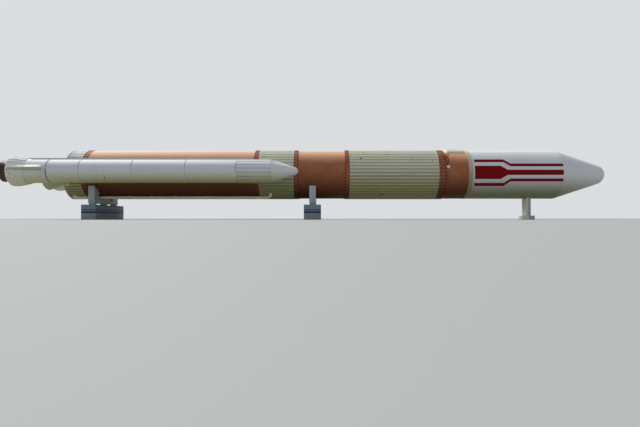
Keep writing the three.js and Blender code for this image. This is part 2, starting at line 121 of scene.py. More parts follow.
def bevelled(part, width, segments=2):
    bmesh.ops.recalc_face_normals(part, faces=part.faces)
    part.normal_update()
    corners = [edge for edge in part.edges if edge.calc_face_angle(0) > sharpEdge]
    bmesh.ops.bevel(part, geom=corners, offset=width, segments=segments, profile=0.5, affect="EDGES",
                    material=-1, clamp_overlap=True)
    return part


def moved(part, matrix):
    bmesh.ops.transform(part, matrix=matrix, verts=part.verts)
    return part


def turnX(degrees):
    return Matrix.Rotation(math.radians(degrees), 4, "X")


def block(size, place=(0, 0, 0), turn=0.0, bevel=0.0):  # turned about the X axis after it is placed
    part = bmesh.new()
    bmesh.ops.create_cube(part, size=1, matrix=Matrix.Diagonal((*size, 1)))
    if bevel:
        bevelled(part, bevel)
    return moved(part, turnX(turn) @ Matrix.Translation(place))


def rod(start, end, radius, endRadius=None, sides=16):
    way = Vector(end) - Vector(start)
    turn = way.to_track_quat("Z", "Y").to_matrix().to_4x4()
    place = Matrix.Translation((Vector(start) + Vector(end)) / 2) @ turn
    part = bmesh.new()
    bmesh.ops.create_cone(part, cap_ends=True, segments=sides, radius1=radius,
                          radius2=radius if endRadius is None else endRadius, depth=way.length, matrix=place)
    return part


def ball(place, radius, sides=16, stretch=(1, 1, 1)):
    part = bmesh.new()
    matrix = Matrix.Translation(place) @ Matrix.Diagonal((*stretch, 1))
    bmesh.ops.create_uvsphere(part, u_segments=sides, v_segments=sides // 2, radius=radius, matrix=matrix)
    return part


def around(part, count):  # copies at equal angles round X
    geometry = part.verts[:] + part.edges[:] + part.faces[:]
    bmesh.ops.spin(part, geom=geometry, axis=(1, 0, 0), cent=(0, 0, 0), angle=math.tau * (count - 1) / count,
                   steps=count - 1, use_duplicate=True)
    return part


def along(part, count, step):  # copies at equal steps
    geometry = part.verts[:] + part.edges[:] + part.faces[:]
    for number in range(1, count):
        copy = bmesh.ops.duplicate(part, geom=geometry)
        bmesh.ops.translate(part, verts=newVerts(copy), vec=Vector(step) * number)
    return part


def hoop(low, high, radiusAt, sink, rise, steps):  # a flat band that follows a cone
    return turned([(low, radiusAt(low) - sink), (low, radiusAt(low) + rise), (high, radiusAt(high) + rise),
                   (high, radiusAt(high) - sink)], steps, closed=True)


def scaled(vert, scale):  # moved out from the X axis, or in
    vert.co.y *= scale
    vert.co.z *= scale


def stud(x, radius, size, height, sides=6, angle=0.0):  # a small head that stands out from a round body
    part = rod((x, 0, radius - height * 0.4), (x, 0, radius + height), size, size * 0.8, sides)
    return moved(part, turnX(angle))


def pipe(path, radius, sides=14, bend=0.06, steps=6):  # a round pipe through points, its corners rounded
    points = [Vector(point) for point in path]
    line = [points[0]]
    for before, corner, after in zip(points, points[1:], points[2:]):
        reach = min(bend, (corner - before).length / 2.01, (after - corner).length / 2.01)
        first = corner + (before - corner).normalized() * reach
        last = corner + (after - corner).normalized() * reach
        for step in range(steps + 1):
            share = step / steps
            line.append(first.lerp(corner, share).lerp(corner.lerp(last, share), share))
    line.append(points[-1])
    ways = [(after - before).normalized() for before, after in zip(line, line[1:])]
    facing = [(first + second).normalized() for first, second in zip([ways[0]] + ways, ways + [ways[-1]])]
    part = bmesh.new()
    turn = facing[0].to_track_quat("Z", "Y")
    rings = []
    for number, point in enumerate(line):
        if number:
            turn = facing[number - 1].rotation_difference(facing[number]) @ turn
        place = Matrix.Translation(point) @ turn.to_matrix().to_4x4()
        ended = number in (0, len(line) - 1)
        made = bmesh.ops.create_circle(part, segments=sides, radius=radius, cap_ends=ended, matrix=place)
        rings.append({edge for vert in made["verts"] for edge in vert.link_edges})
    for first, second in zip(rings, rings[1:]):
        bmesh.ops.bridge_loops(part, edges=list(first | second))
    return part


def makePiece(name, parts, finish, slot, replaces=(), body="root", at=coreAxis, mirror=False, smooth=35):
    mesh = bmesh.new()
    for part in parts:
        loose = bpy.data.meshes.new(name)
        part.to_mesh(loose)
        part.free()
        mesh.from_mesh(loose)
        bpy.data.meshes.remove(loose)
    moved(mesh, Matrix.Translation(at) @ Matrix.Diagonal((1, -1 if mirror else 1, 1, 1)))
    bmesh.ops.recalc_face_normals(mesh, faces=mesh.faces)
    mesh.normal_update()
    for face in mesh.faces:
        face.smooth = True
    for edge in mesh.edges:
        edge.smooth = edge.calc_face_angle(0) < math.radians(smooth)
    data = bpy.data.meshes.new(name)
    mesh.to_mesh(data)
    mesh.free()
    data.materials.append(finishes[finish])
    piece = bpy.data.objects.new(name, data)
    bpy.context.scene.collection.objects.link(piece)
    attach(piece, body)
    if replaces:
        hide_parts(*replaces)
    return piece


def repaint(node, finish):  # a node of the frame that shows as it is
    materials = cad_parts[node].data.materials
    materials.clear()
    materials.append(finishes[finish])


class Wire:  # one socket of a material, with the sums that the finishes use
    def __init__(self, finish, socket):
        self.finish = finish
        self.socket = socket

    def math(self, operation, *values):
        return self.finish.node("Math", {"operation": operation}, dict(enumerate(values)))

    def __add__(self, other):
        return self.math("ADD", self, other)

    def __sub__(self, other):
        return self.math("SUBTRACT", self, other)

    def __rsub__(self, other):
        return self.math("SUBTRACT", other, self)

    def __mul__(self, other):
        return self.math("MULTIPLY", self, other)

    def __truediv__(self, other):
        return self.math("DIVIDE", self, other)

    __radd__ = __add__
    __rmul__ = __mul__

    def size(self):
        return self.math("ABSOLUTE", self)

    def root(self):
        return self.math("SQRT", self)

    def most(self, other):
        return self.math("MAXIMUM", self, other)

    def rise(self, low, high):  # 0 below low, 1 above high, smooth between
        return self.finish.node("MapRange", {"interpolation_type": "SMOOTHSTEP"},
                                {"Value": self, "From Min": low, "From Max": high})

    def band(self, low, high, soft=0.002):  # 1 between low and high
        return self.rise(low - soft, low + soft) * (1 - self.rise(high - soft, high + soft))


class Finish:  # one material under construction
    def __init__(self, name):
        self.material = bpy.data.materials.new(name)
        self.material.use_nodes = True
        self.tree = self.material.node_tree
        self.tree.nodes.clear()
        self.place = self.node("TexCoord", {}, {}, "Object")

    def node(self, kind, settings, inputs, output=0):
        made = self.tree.nodes.new("ShaderNode" + kind)
        for name, value in settings.items():
            setattr(made, name, value)
        for name, value in inputs.items():
            if isinstance(value, Wire):
                self.tree.links.new(value.socket, made.inputs[name])
            else:
                made.inputs[name].default_value = value
        return Wire(self, made.outputs[output]) if made.outputs else None

    def mixed(self, share, first, second, how="MIX"):
        return self.node("Mix", {"data_type": "RGBA", "blend_type": how}, {0: share, 6: first, 7: second}, 2)

    def stretched(self, scale):
        return self.node("VectorMath", {"operation": "MULTIPLY"}, {0: self.place, 1: scale})

    def clouds(self, scale, detail=4.0, roughness=0.55, stretch=None):
        where = self.stretched(stretch) if stretch else self.place
        inputs = {"Vector": where, "Scale": scale, "Detail": detail, "Roughness": roughness}
        return self.node("TexNoise", {}, inputs)

    def axes(self):
        split = self.node("SeparateXYZ", {}, {0: self.place})
        outputs = split.socket.node.outputs
        return [Wire(self, outputs[number]) for number in range(3)]

    def about(self, offset=0.0):  # along the axis, across and up from it, and the distance from it
        x, y, z = self.axes()
        across = y.size() - offset if offset else y
        up = z - coreAxis.z
        return x, across, up, (across * across + up * up).root()

    def bump(self, height, distance, strength=1.0, under=None):
        inputs = {"Height": height, "Distance": distance, "Strength": strength}
        if under:
            inputs["Normal"] = under
        return self.node("Bump", {}, inputs)

    def coat(self, share, red, green, blue):  # another colour over what is there
        self.color = self.mixed(share, self.color, paint(red, green, blue))

    def done(self, roughness, normal=None, **fixed):
        inputs = {"Base Color": self.color, "Roughness": roughness}
        if normal:
            inputs["Normal"] = normal
        inputs.update({name.replace("_", " "): value for name, value in fixed.items()})
        surface = self.node("BsdfPrincipled", {}, inputs)
        self.node("OutputMaterial", {}, {"Surface": surface})
        return self.material


def paint(red, green, blue):  # a colour as a screen shows it, 0 to 255, on the shader's own scale
    return tuple(((value / 255 + 0.055) / 1.055) ** 2.4 for value in (red, green, blue)) + (1.0,)


# Finishes

def tankFoam():  # sprayed foam with a faded orange paint; the top painted pale as a painted highlight and the underside painted dark as painted shade
    foam = Finish("tankFoam")
    x, across, up, _ = foam.about()
    blotches = foam.clouds(1.7, 5, 0.6)
    specks = foam.clouds(34, 3, 0.6)
    streaks = foam.clouds(1.0, 4, 0.6, (13, 1.2, 1.2))
    foam.color = foam.mixed(blotches.rise(0.35, 0.68), paint(166, 101, 70), paint(182, 116, 84))
    foam.coat(streaks.rise(0.5, 0.8) * 0.3, 140, 84, 60)
    foam.coat(specks.rise(0.52, 0.72) * 0.22, 128, 76, 54)
    # painted highlight on the upper side, strongest at the very top
    foam.coat(up.rise(0.3, 0.95) * 0.9, 236, 186, 146)
    foam.coat(up.rise(0.86, 1.0) * 0.8, 250, 220, 200)
    # painted shade on the underside
    foam.coat((up * -1).rise(-0.45, 1.0) * 0.92, 84, 44, 20)
    scar = x.band(0.612, 0.636, 0.006) * up.band(0.12, 0.66, 0.05) * (across * -1).rise(0, 0.2)
    foam.coat(scar * up.rise(0.35, 0.5) * 0.5, 206, 176, 180)
    foam.coat(scar * (1 - up.rise(0.3, 0.45)) * 0.5, 92, 30, 24)
    grain = foam.bump(foam.clouds(52, 4, 0.65), 0.0035, 0.5)
    normal = foam.bump(foam.clouds(3.2, 3, 0.5), 0.012, 0.35, grain)
    return foam.done(specks * 0.2 + 0.55, normal, Specular_IOR_Level=0.2)


def bandPaint():  # the ladder bands: red-brown frames round paler cells
    band = Finish("bandPaint")
    x, _, up, distance = band.about()
    frames = distance.rise(coreRadius + 0.009, coreRadius + 0.0125)
    wear = band.clouds(18, 4, 0.6)
    cells = band.mixed(wear.rise(0.4, 0.7), paint(182, 116, 86), paint(162, 96, 70))
    band.color = band.mixed(frames, cells, paint(122, 54, 36))
    band.coat(wear.rise(0.58, 0.78) * 0.5, 88, 38, 26)
    band.coat(x.rise(5.0, 5.02) * 0.4, 104, 52, 36)
    # painted highlight on the upper side
    band.coat(up.rise(0.3, 1.0) * 0.35, 196, 128, 98)
    # painted shade on the underside
    band.coat((up * -1).rise(0.0, 1.0) * 0.75, 70, 32, 18)
    grain = band.bump(band.clouds(60, 3, 0.6), 0.002, 0.5)
    return band.done(wear * 0.2 + 0.55, grain, Specular_IOR_Level=0.25)


def streaksAndUnderShade(finish, up, reach, streakColor, underShadeColor, underShade=0.6, streak=0.35, start=-0.25, full=1.05):
    # rain streaks that run down round a body, and painted shade with a green-grey cast on its underside
    streaks = finish.clouds(1.0, 5, 0.62, (17, 1.6, 1.6))
    patches = finish.clouds(2.6, 5, 0.6)
    finish.coat(streaks.rise(0.52, 0.82) * streak, *streakColor)
    finish.coat(patches.rise(0.5, 0.8) * 0.18, *streakColor)
    # painted shade, darker towards the bottom
    below = (up * (-1 / reach)).rise(start, full)
    finish.coat(below * underShade * (patches * 0.3 + 0.85), *underShadeColor)


def creamPrimer():  # the corrugated skins: pale green-cream paint, the grooves darker with dirt and painted shade, a painted highlight on top and painted shade underneath
    cream = Finish("creamPrimer")
    x, _, up, distance = cream.about()
    cream.color = cream.mixed(cream.clouds(1.1, 4, 0.5), paint(208, 209, 188), paint(218, 218, 198))
    # painted highlight along the top
    cream.coat(up.rise(0.78, 0.97) * 0.8, 240, 234, 216)
    # the upper side of the engine bay painted bluish white: painted highlight
    cream.coat((1 - x.rise(-8.6, -8.4)) * up.rise(0.35, 0.65) * 0.95, 228, 228, 232)
    # the grooves painted darker, more so underneath: dirt and painted shade
    grooveDirtAndShade = (1 - distance.rise(coreRadius - 0.002, coreRadius + 0.014)) * distance.rise(0.95, 0.99)
    cream.coat(grooveDirtAndShade * ((up * -1).rise(-0.5, 0.4) * 0.35 + 0.4), 112, 110, 74)
    # rain streaks, and painted shade with a green cast underneath
    streaksAndUnderShade(cream, up, coreRadius, (168, 166, 134), (140, 136, 62), 0.76, 0.3, -0.4, 0.8)
    return cream.done(cream.clouds(9, 3) * 0.25 + 0.42, cream.bump(cream.clouds(24, 3), 0.002, 0.35),
                      Specular_IOR_Level=0.35)


def plainCream():  # pipes, brackets and the engine bell in the same paint
    cream = Finish("plainCream")
    up = cream.about()[2]
    cream.color = cream.mixed(cream.clouds(3.1, 4, 0.5), paint(204, 204, 182), paint(216, 215, 194))
    # rain streaks, and painted shade with a green cast underneath
    streaksAndUnderShade(cream, up, coreRadius, (150, 145, 116), (164, 162, 84), 0.85)
    return cream.done(cream.clouds(9, 3) * 0.25 + 0.4, cream.bump(cream.clouds(30, 3), 0.0015, 0.4))


def feedCream():  # the feed line: the cream painted brighter, with no painted shade, as painted light bounced up under the belly
    cream = Finish("feedCream")
    worn = cream.clouds(4.3, 4, 0.55)
    cream.color = cream.mixed(worn.rise(0.35, 0.7), paint(246, 244, 214), paint(230, 228, 192))
    cream.coat(cream.clouds(1.0, 4, 0.6, (23, 2, 2)).rise(0.55, 0.8) * 0.4, 150, 144, 104)
    return cream.done(worn * 0.2 + 0.4, cream.bump(cream.clouds(30, 3), 0.0015, 0.4))


def whitePaint(name, offset, reach, underShadeColor, underShade, start):  # gloss white gone a little chalky
    white = Finish(name)
    x, across, up, distance = white.about(offset)
    white.color = white.mixed(white.clouds(0.9, 4, 0.5), paint(210, 213, 217), paint(221, 223, 226))
    # rain streaks, and painted shade with a green cast underneath
    streaksAndUnderShade(white, up, reach, (180, 181, 172), underShadeColor, underShade, 0.2, start)
    return white, x, across, up, distance


caseJoints = [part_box("right_case_" + str(number))[1].x for number in (1, 2, 3)]
boosterMarks = [  # x, half its width, top, bottom, strength: rust that ran down
    (-8.006, 0.006, 0.0, -0.22, 0.35), (-8.008, 0.013, -0.21, -0.31, 1.0), (-8.015, 0.007, -0.3, -0.43, 0.7)]
skirtGroove = 0.4485


def boosterPaint():
    # rain streaks, and painted shade with a green cast underneath
    white, x, across, up, distance = whitePaint("boosterPaint", boosterOffset, boosterRadius,
                                                (193, 189, 112), 0.9, -0.15)
    # painted shade over the top, toning down the sun's highlight
    white.coat(up.rise(0.29, 0.42) * 0.55, 146, 149, 152)
    # a near white band on the shoulders: painted highlight
    shoulderHighlight = up.rise(0.14, 0.26) * (1 - up.rise(0.31, 0.38))
    white.coat(shoulderHighlight * 0.5, 250, 250, 251)
    wobble = white.clouds(9, 3) * 0.012
    for place, width, top, bottom, strength in boosterMarks:
        streak = (x + wobble).band(place - width, place + width, width * 0.6) * up.band(bottom, top, 0.02)
        white.coat(streak * strength, 112, 66, 38)
    # at the joint before the forward skirt: a painted highlight band and a painted shadow band, fading
    # towards the bottom
    last = up.rise(-0.2, 0.1)
    white.coat(x.band(-3.08, -3.052, 0.003) * last * 0.6, 240, 241, 242)
    white.coat(x.band(-3.05, -3.026, 0.003) * last * 0.75, 60, 68, 76)
    for joint in caseJoints:  # dirt and painted shadow in each joint, strongest on top, and a painted highlight on the lip behind it
        shade = up.rise(-0.3, 0.35) * 0.5 + 0.12
        white.coat(x.band(joint - 0.052, joint - 0.014, 0.004) * 0.4, 238, 239, 240)
        white.coat(x.band(joint - 0.008, joint + 0.014, 0.004) * shade, 84, 88, 92)
    elevation = white.node("Math", {"operation": "ARCTAN2"}, {0: up, 1: across}) * math.degrees(1)
    skirt = x.band(-2.995, -1.68, 0.003)
    # the grooves between the forward skirt's panels: painted shade
    grooveShade = skirt * (1 - distance.rise(skirtGroove + 0.001, skirtGroove + 0.009))
    white.coat(grooveShade * 0.45, 84, 88, 88)
    phase = ((elevation + 10) * 0.05).math("FRACT")
    # on the lower half each panel is painted a little dull, as painted shade, with a bright line at its lower
    # edge, as a painted reflection of light from below
    below = skirt * (up * -1).rise(-0.06, 0.12)
    white.coat(below * phase.band(0.36, 0.95, 0.03) * 0.12, 108, 110, 80)
    white.coat(below * phase.band(0.08, 0.32, 0.03) * 0.95, 255, 255, 246)
    flare = x.band(-11.65, -11.1, 0.01)
    finPhase = ((elevation - 7.5) / 15 + 0.5).math("FRACT")
    # the fins' edges painted white as a painted highlight, the skin between them darker as painted shade
    finHighlight = finPhase.band(0.5, 0.76, 0.05)
    white.coat(flare * finHighlight * 0.8, 252, 252, 246)
    white.coat(flare * (1 - finHighlight) * 0.4, 140, 142, 112)
    # olive below the side housing: painted shade with a green cast
    podUnderShade = x.band(-11.56, -10.36, 0.03) * up.band(-0.005, 0.112, 0.012) * across.rise(0.2, 0.3)
    white.coat(podUnderShade * 0.75, 180, 175, 106)
    # the housing's upper half near white: painted highlight
    podTopHighlight = x.band(-11.62, -10.36, 0.03) * up.band(0.112, 0.21, 0.012) * across.rise(0.2, 0.3)
    white.coat(podTopHighlight * 0.85, 250, 249, 244)
    # the skirt's rim painted near white: painted highlight
    rim = 1 - x.rise(-11.66, -11.65)
    white.coat(rim * 0.8, 244, 244, 242)
    stain = x.band(-11.62, -10.3, 0.1) * white.clouds(1.0, 4, 0.6, (1.2, 6, 6)).rise(0.45, 0.75)
    white.coat(stain * 0.35, 172, 170, 134)
    normal = white.bump(white.clouds(5, 3), 0.004, 0.2)
    return white.done(white.clouds(11, 3) * 0.12 + 0.56, normal, Specular_IOR_Level=0.9)


stripes = {  # the fairing's red pattern: lengths along the axis, and elevations in degrees on the side
    "start": 6.38, "wideEnd": 7.555, "narrowStart": 7.815, "end": 9.93,
    "blockStart": 6.38, "blockEnd": 7.41, "neckStart": 7.69,
    "centre": 0.8, "block": 15.5, "neck": 6.0, "wideInner": 24.6, "wideOuter": 32.5,
    "narrowInner": 14.1, "narrowOuter": 21.1,
}


def fairingPaint():
    # rain streaks, and painted shade with a green cast underneath
    white, x, across, up, distance = whitePaint("fairingPaint", 0.0, coreRadius, (132, 133, 76), 0.95, 0.0)
    elevation = white.node("Math", {"operation": "ARCTAN2"}, {0: up, 1: across.size()}) * math.degrees(1)
    away = (elevation - stripes["centre"]).size()

    def slope(start, end, first, last):
        return white.node("MapRange", {}, {"Value": x, "From Min": start, "From Max": end,
                                           "To Min": first, "To Max": last})

    edge = 0.12  # how soft the paint's edges are, in degrees
    blockEdge = slope(stripes["blockEnd"], stripes["neckStart"], stripes["block"], stripes["neck"])
    block = (blockEdge - away).rise(-edge, edge) * x.band(stripes["blockStart"], stripes["end"], 0.003)
    inner = slope(stripes["wideEnd"], stripes["narrowStart"], stripes["wideInner"], stripes["narrowInner"])
    outer = slope(stripes["wideEnd"], stripes["narrowStart"], stripes["wideOuter"], stripes["narrowOuter"])
    line = (away - inner).rise(-edge, edge) * (outer - away).rise(-edge, edge)
    line = line * x.band(stripes["start"], stripes["end"], 0.003)
    red = white.mixed(white.clouds(2.2, 4), paint(116, 1, 6), paint(132, 2, 10))
    # painted highlight along the top
    white.coat(up.rise(0.82, 0.98) * 0.7, 240, 241, 243)
    white.color = white.mixed(block.most(line) * distance.rise(0.97, 0.98), white.color, red)
    normal = white.bump(white.clouds(3, 3), 0.004, 0.15)
    return white.done(white.clouds(8, 3) * 0.16 + 0.42, normal, Specular_IOR_Level=0.1)


def tunnelPaint():
    # rain streaks, and painted shade with a green cast underneath
    white, *_ = whitePaint("tunnelPaint", boosterOffset, boosterRadius, (150, 148, 112), 0.7, -0.25)
    white.coat(0.35, 186, 182, 186)
    return white.done(white.clouds(12, 3) * 0.2 + 0.4, white.bump(white.clouds(16, 3), 0.002, 0.3))


def rustyRing():  # the joint behind the booster's first case: painted lips, rust in the groove
    ring = Finish("rustyRing")
    x, _, up, distance = ring.about(boosterOffset)
    rust = ring.clouds(9, 5, 0.65)
    deep = (1 - distance.rise(boosterRadius + 0.018, boosterRadius + 0.021)) * x.band(-10.242, -10.222, 0.002)
    lips = ring.mixed(rust.rise(0.55, 0.75) * 0.4, paint(206, 209, 210), paint(120, 96, 78))
    groove = ring.mixed(rust.rise(0.35, 0.65), paint(104, 66, 42), paint(66, 42, 30))
    groove = ring.mixed(up.rise(0.05, 0.2) * 0.9, groove, paint(112, 120, 130))
    worn = x.band(-10.24, -10.19) * (1 - up.rise(-0.1, 0.12))
    lips = ring.mixed(worn * 0.7, lips, paint(128, 88, 60))
    ring.color = ring.mixed(deep, lips, groove)
    return ring.done(rust * 0.3 + 0.5, ring.bump(rust, 0.002, 0.6))


def nozzleLiner():  # dark red-brown wound liner with fine rings
    liner = Finish("nozzleLiner")
    up = liner.about(boosterOffset)[2]
    winding = {"Vector": liner.place, "Scale": 34.0, "Distortion": 0.6}
    wound = liner.node("TexWave", {"bands_direction": "X"}, winding, 1)
    patches = liner.clouds(5, 5, 0.6)
    liner.color = liner.mixed(patches.rise(0.35, 0.7), paint(78, 42, 44), paint(60, 31, 32))
    # the upper side painted pink-grey: painted highlight
    liner.coat(up.rise(0.2, 0.42) * 0.5, 150, 112, 112)
    liner.coat(wound * 0.15, 40, 22, 22)
    return liner.done(patches * 0.25 + 0.42, liner.bump(wound, 0.001, 0.4))


def bareSteel():
    steel = Finish("bareSteel")
    stain = steel.clouds(14, 5, 0.6)
    steel.color = steel.mixed(stain.rise(0.45, 0.75), paint(150, 152, 154), paint(104, 92, 82))
    return steel.done(stain * 0.35 + 0.3, steel.bump(steel.clouds(70, 2), 0.0006, 0.3), Metallic=0.75)


def insulationBlanket():  # grey quilted cover of the heat shield
    blanket = Finish("insulationBlanket")
    wrinkles = blanket.clouds(7, 5, 0.6)
    blanket.color = blanket.mixed(wrinkles.rise(0.35, 0.7), paint(150, 152, 150), paint(118, 118, 112))
    normal = blanket.bump(wrinkles, 0.02, 0.5)
    return blanket.done(wrinkles * 0.2 + 0.6, normal)


def openingDark():
    # near black with soot; in the ports it is painted shade for their hollow insides
    dark = Finish("openingDark")
    soot = dark.clouds(20, 3)
    dark.color = dark.mixed(soot, paint(24, 22, 20), paint(44, 38, 34))
    return dark.done(soot * 0.2 + 0.7)


def paintedConcrete(name, stain=0.35, light=1.0):
    concrete = Finish(name)
    clouds = concrete.clouds(2.8, 5, 0.62)
    pores = concrete.clouds(46, 3, 0.7)
    runs = concrete.clouds(1.0, 4, 0.6, (9, 9, 0.9))
    concrete.color = concrete.mixed(clouds.rise(0.35, 0.7), paint(182 * light, 188 * light, 192 * light),
                           paint(168 * light, 173 * light, 176 * light))
    concrete.coat(runs.rise(0.5, 0.75) * stain, 118, 118, 108)
    concrete.coat(pores.rise(0.62, 0.75) * 0.4, 112, 112, 106)
    normal = concrete.bump(pores, 0.003, 0.4, concrete.bump(clouds, 0.01, 0.3))
    return concrete, concrete.axes(), clouds * 0.2 + 0.6, normal


def saddlePaint():
    concrete, _, roughness, normal = paintedConcrete("saddlePaint", 0.35, 1.02)
    return concrete.done(roughness, normal)


columnX = middle("front_column").x


def columnPaint():
    concrete, (x, _, _), roughness, normal = paintedConcrete("columnPaint", 0.25, 1.06)
    # the side toward the sun painted bright cream: painted sunlight
    paintedSunSide = 1 - x.rise(columnX - 0.035, columnX - 0.03)
    concrete.coat(paintedSunSide * 0.85, 250, 246, 226)
    return concrete.done(roughness, normal)


blockBands = {"rimTop": 0.406, "rimBottom": 0.384, "blueBottom": 0.322, "navyBottom": 0.25}
blockSides = [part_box("rear_block")[1].x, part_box("middle_block")[1].x]


def blockPaint():  # blue-grey above, a pale blue band between two navy lines, bare grey below
    concrete, (x, _, z), roughness, normal = paintedConcrete("blockPaint", 0.45, 0.88)
    soft = 0.0015
    concrete.coat(z.rise(blockBands["rimTop"] - soft, blockBands["rimTop"] + soft) * 0.9, 124, 146, 150)
    blue = z.band(blockBands["blueBottom"], blockBands["rimBottom"], soft)
    concrete.coat(blue * 0.92, 100, 118, 158)
    navy = z.band(blockBands["rimBottom"], blockBands["rimTop"], soft)
    navy = navy.most(z.band(blockBands["navyBottom"], blockBands["blueBottom"], soft))
    concrete.coat(navy * 0.95, 46, 50, 96)
    chips = concrete.clouds(21, 5, 0.7).rise(0.62, 0.7)
    concrete.coat(chips * 0.35, 150, 152, 150)
    for side in blockSides:  # the side away from the sun painted olive-brown: painted shade
        concrete.coat(x.band(side - 0.004, side + 0.01) * 0.3, 104, 98, 66)
    return concrete.done(roughness, normal)


finishes = {maker.__name__: maker() for maker in (
    tankFoam, bandPaint, creamPrimer, plainCream, feedCream, boosterPaint, fairingPaint, tunnelPaint,
    rustyRing, nozzleLiner, bareSteel, insulationBlanket, openingDark, saddlePaint, columnPaint, blockPaint)}
print("finishes made:", len(finishes))


# Core stage

foamTank = {"steps": 160, "ringStep": 0.09, "wave": 0.0016, "closeout": 0.055, "closeoutRise": 0.003}


def makeFoamTank(name, node):
    start, end = span(node)
    rings = max(2, round((end - start) / foamTank["ringStep"]))
    outline = [(start, 0.0)]
    for ring in range(rings + 1):
        x = start + (end - start) * ring / rings
        outline.append((x, coreRadius - 0.001))
    outline.append((end, 0.0))
    skin = turned(outline, foamTank["steps"])
    for vert in skin.verts:  # the foam is never quite even
        if vert.co.yz.length > 0.9:
            swell = noise.noise(vert.co * 2.3)
            ripple = noise.noise(vert.co * 9)
            scaled(vert, 1 + foamTank["wave"] * swell + 0.4 * foamTank["wave"] * ripple)
    closeouts = []
    for first in (start, end - foamTank["closeout"]):
        closeouts.append(ringOf(first, first + foamTank["closeout"], coreRadius - 0.03,
                                coreRadius + foamTank["closeoutRise"], 0.002, foamTank["steps"]))
    makePiece(name, [skin, *closeouts], "tankFoam", "foam", [node])


for name, node in [("rearTankFoam", "hydrogen_tank"), ("frontTankFoam", "oxygen_tank"),
                   ("upperTankFoam", "upper_tank")]:
    makeFoamTank(name, node)

ladder = {"rim": 0.026, "rungWidth": 0.026, "bed": 0.007, "rise": 0.018, "stud": 0.006}


def makeLadderBand(name, node, rungs):  # two rims and a ring of rungs over a bed, bolts along the rims
    start, end = span(node)
    rim, top = ladder["rim"], coreRadius + ladder["rise"]
    parts = [ringOf(start, end, coreRadius - 0.04, coreRadius + ladder["bed"], 0.001, 128)]
    for first in (start, end - rim):
        parts.append(ringOf(first, first + rim, coreRadius - 0.02, top, 0.003, 128))
    rung = block((end - start - rim, ladder["rungWidth"], ladder["rise"]),
                 ((start + end) / 2, 0, top - ladder["rise"] / 2 - 0.001), bevel=0.003)
    parts.append(around(rung, rungs))
    for x in (start + rim / 2, end - rim / 2):
        half = 180 / rungs
        parts.append(around(stud(x, top, ladder["stud"], 0.0025, 6, half), rungs))
    makePiece(name, parts, "bandPaint", "band", [node])


for name, node, rungs in [("aftBand", "aft_band", 45), ("rearBand", "rear_band", 64),
                          ("middleBand", "middle_band", 64), ("interstageBand", "interstage_band", 64),
                          ("upperBand", "upper_band", 45)]:
    makeLadderBand(name, node, rungs)
print("tanks and bands made")

skins = {"ribs": 45, "height": 0.022, "wall": 0.05, "flange": 0.018, "rivetStep": 0.1, "rivet": 0.0042}
ribOutline = [  # share of the pitch, share of the height
    (-0.37, 0.0), (-0.31, 0.06), (-0.215, 0.9), (-0.165, 1.0),
    (0.165, 1.0), (0.215, 0.9), (0.31, 0.06), (0.37, 0.0)]


def ribbedTube(start, end, inner):
    tube = bmesh.new()
    pitch = math.tau / skins["ribs"]
    points = []
    for share, rise in ribOutline:
        distance, angle = coreRadius + rise * skins["height"], share * pitch
        points.append(tube.verts.new((start, distance * math.cos(angle), distance * math.sin(angle))))
    last = points[0].co.copy()
    last.rotate(Matrix.Rotation(pitch, 3, "X"))
    points.append(tube.verts.new(last))
    for pair in zip(points, points[1:]):
        tube.edges.new(pair)
    around(tube, skins["ribs"])
    bmesh.ops.remove_doubles(tube, verts=tube.verts, dist=0.00001)
    first = tube.edges[:]
    loop = first
    for move, distance in [(end - start, None), (0, inner), (start - end, inner)]:
        grown = bmesh.ops.extrude_edge_only(tube, edges=loop)
        verts = newVerts(grown)
        loop = [item for item in grown["geom"] if isinstance(item, bmesh.types.BMEdge)]
        bmesh.ops.translate(tube, verts=verts, vec=(move, 0, 0))
        for vert in verts if distance else ():
            scaled(vert, distance / vert.co.yz.length)
    bmesh.ops.bridge_loops(tube, edges=first + loop)
    return tube


def makeSkin(name, node, start, end, inner, extra=()):
    parts = [ribbedTube(start, end, inner), *extra]
    flange, top = skins["flange"], coreRadius + skins["height"]
    for first in (start, end - flange):
        parts.append(ringOf(first, first + flange, coreRadius - 0.01, top, 0.002, 135))
    count = int((end - start - 0.06) / skins["rivetStep"])
    for share in (-0.42, 0.42):
        row = stud(start + 0.05, coreRadius, skins["rivet"], 0.0022, 5, 360 / skins["ribs"] * share - 90)
        parts.append(around(along(row, count, (skins["rivetStep"], 0, 0)), skins["ribs"]))
    return makePiece(name, parts, "creamPrimer", "primer", [node])


def sidePlace(x, elevation, distance):  # a point on the camera's side of the core
    angle = math.radians(elevation)
    return Vector((x, -distance * math.cos(angle), distance * math.sin(angle)))


makeSkin("intertankSkin", "intertank", *span("intertank"), coreRadius - skins["wall"])

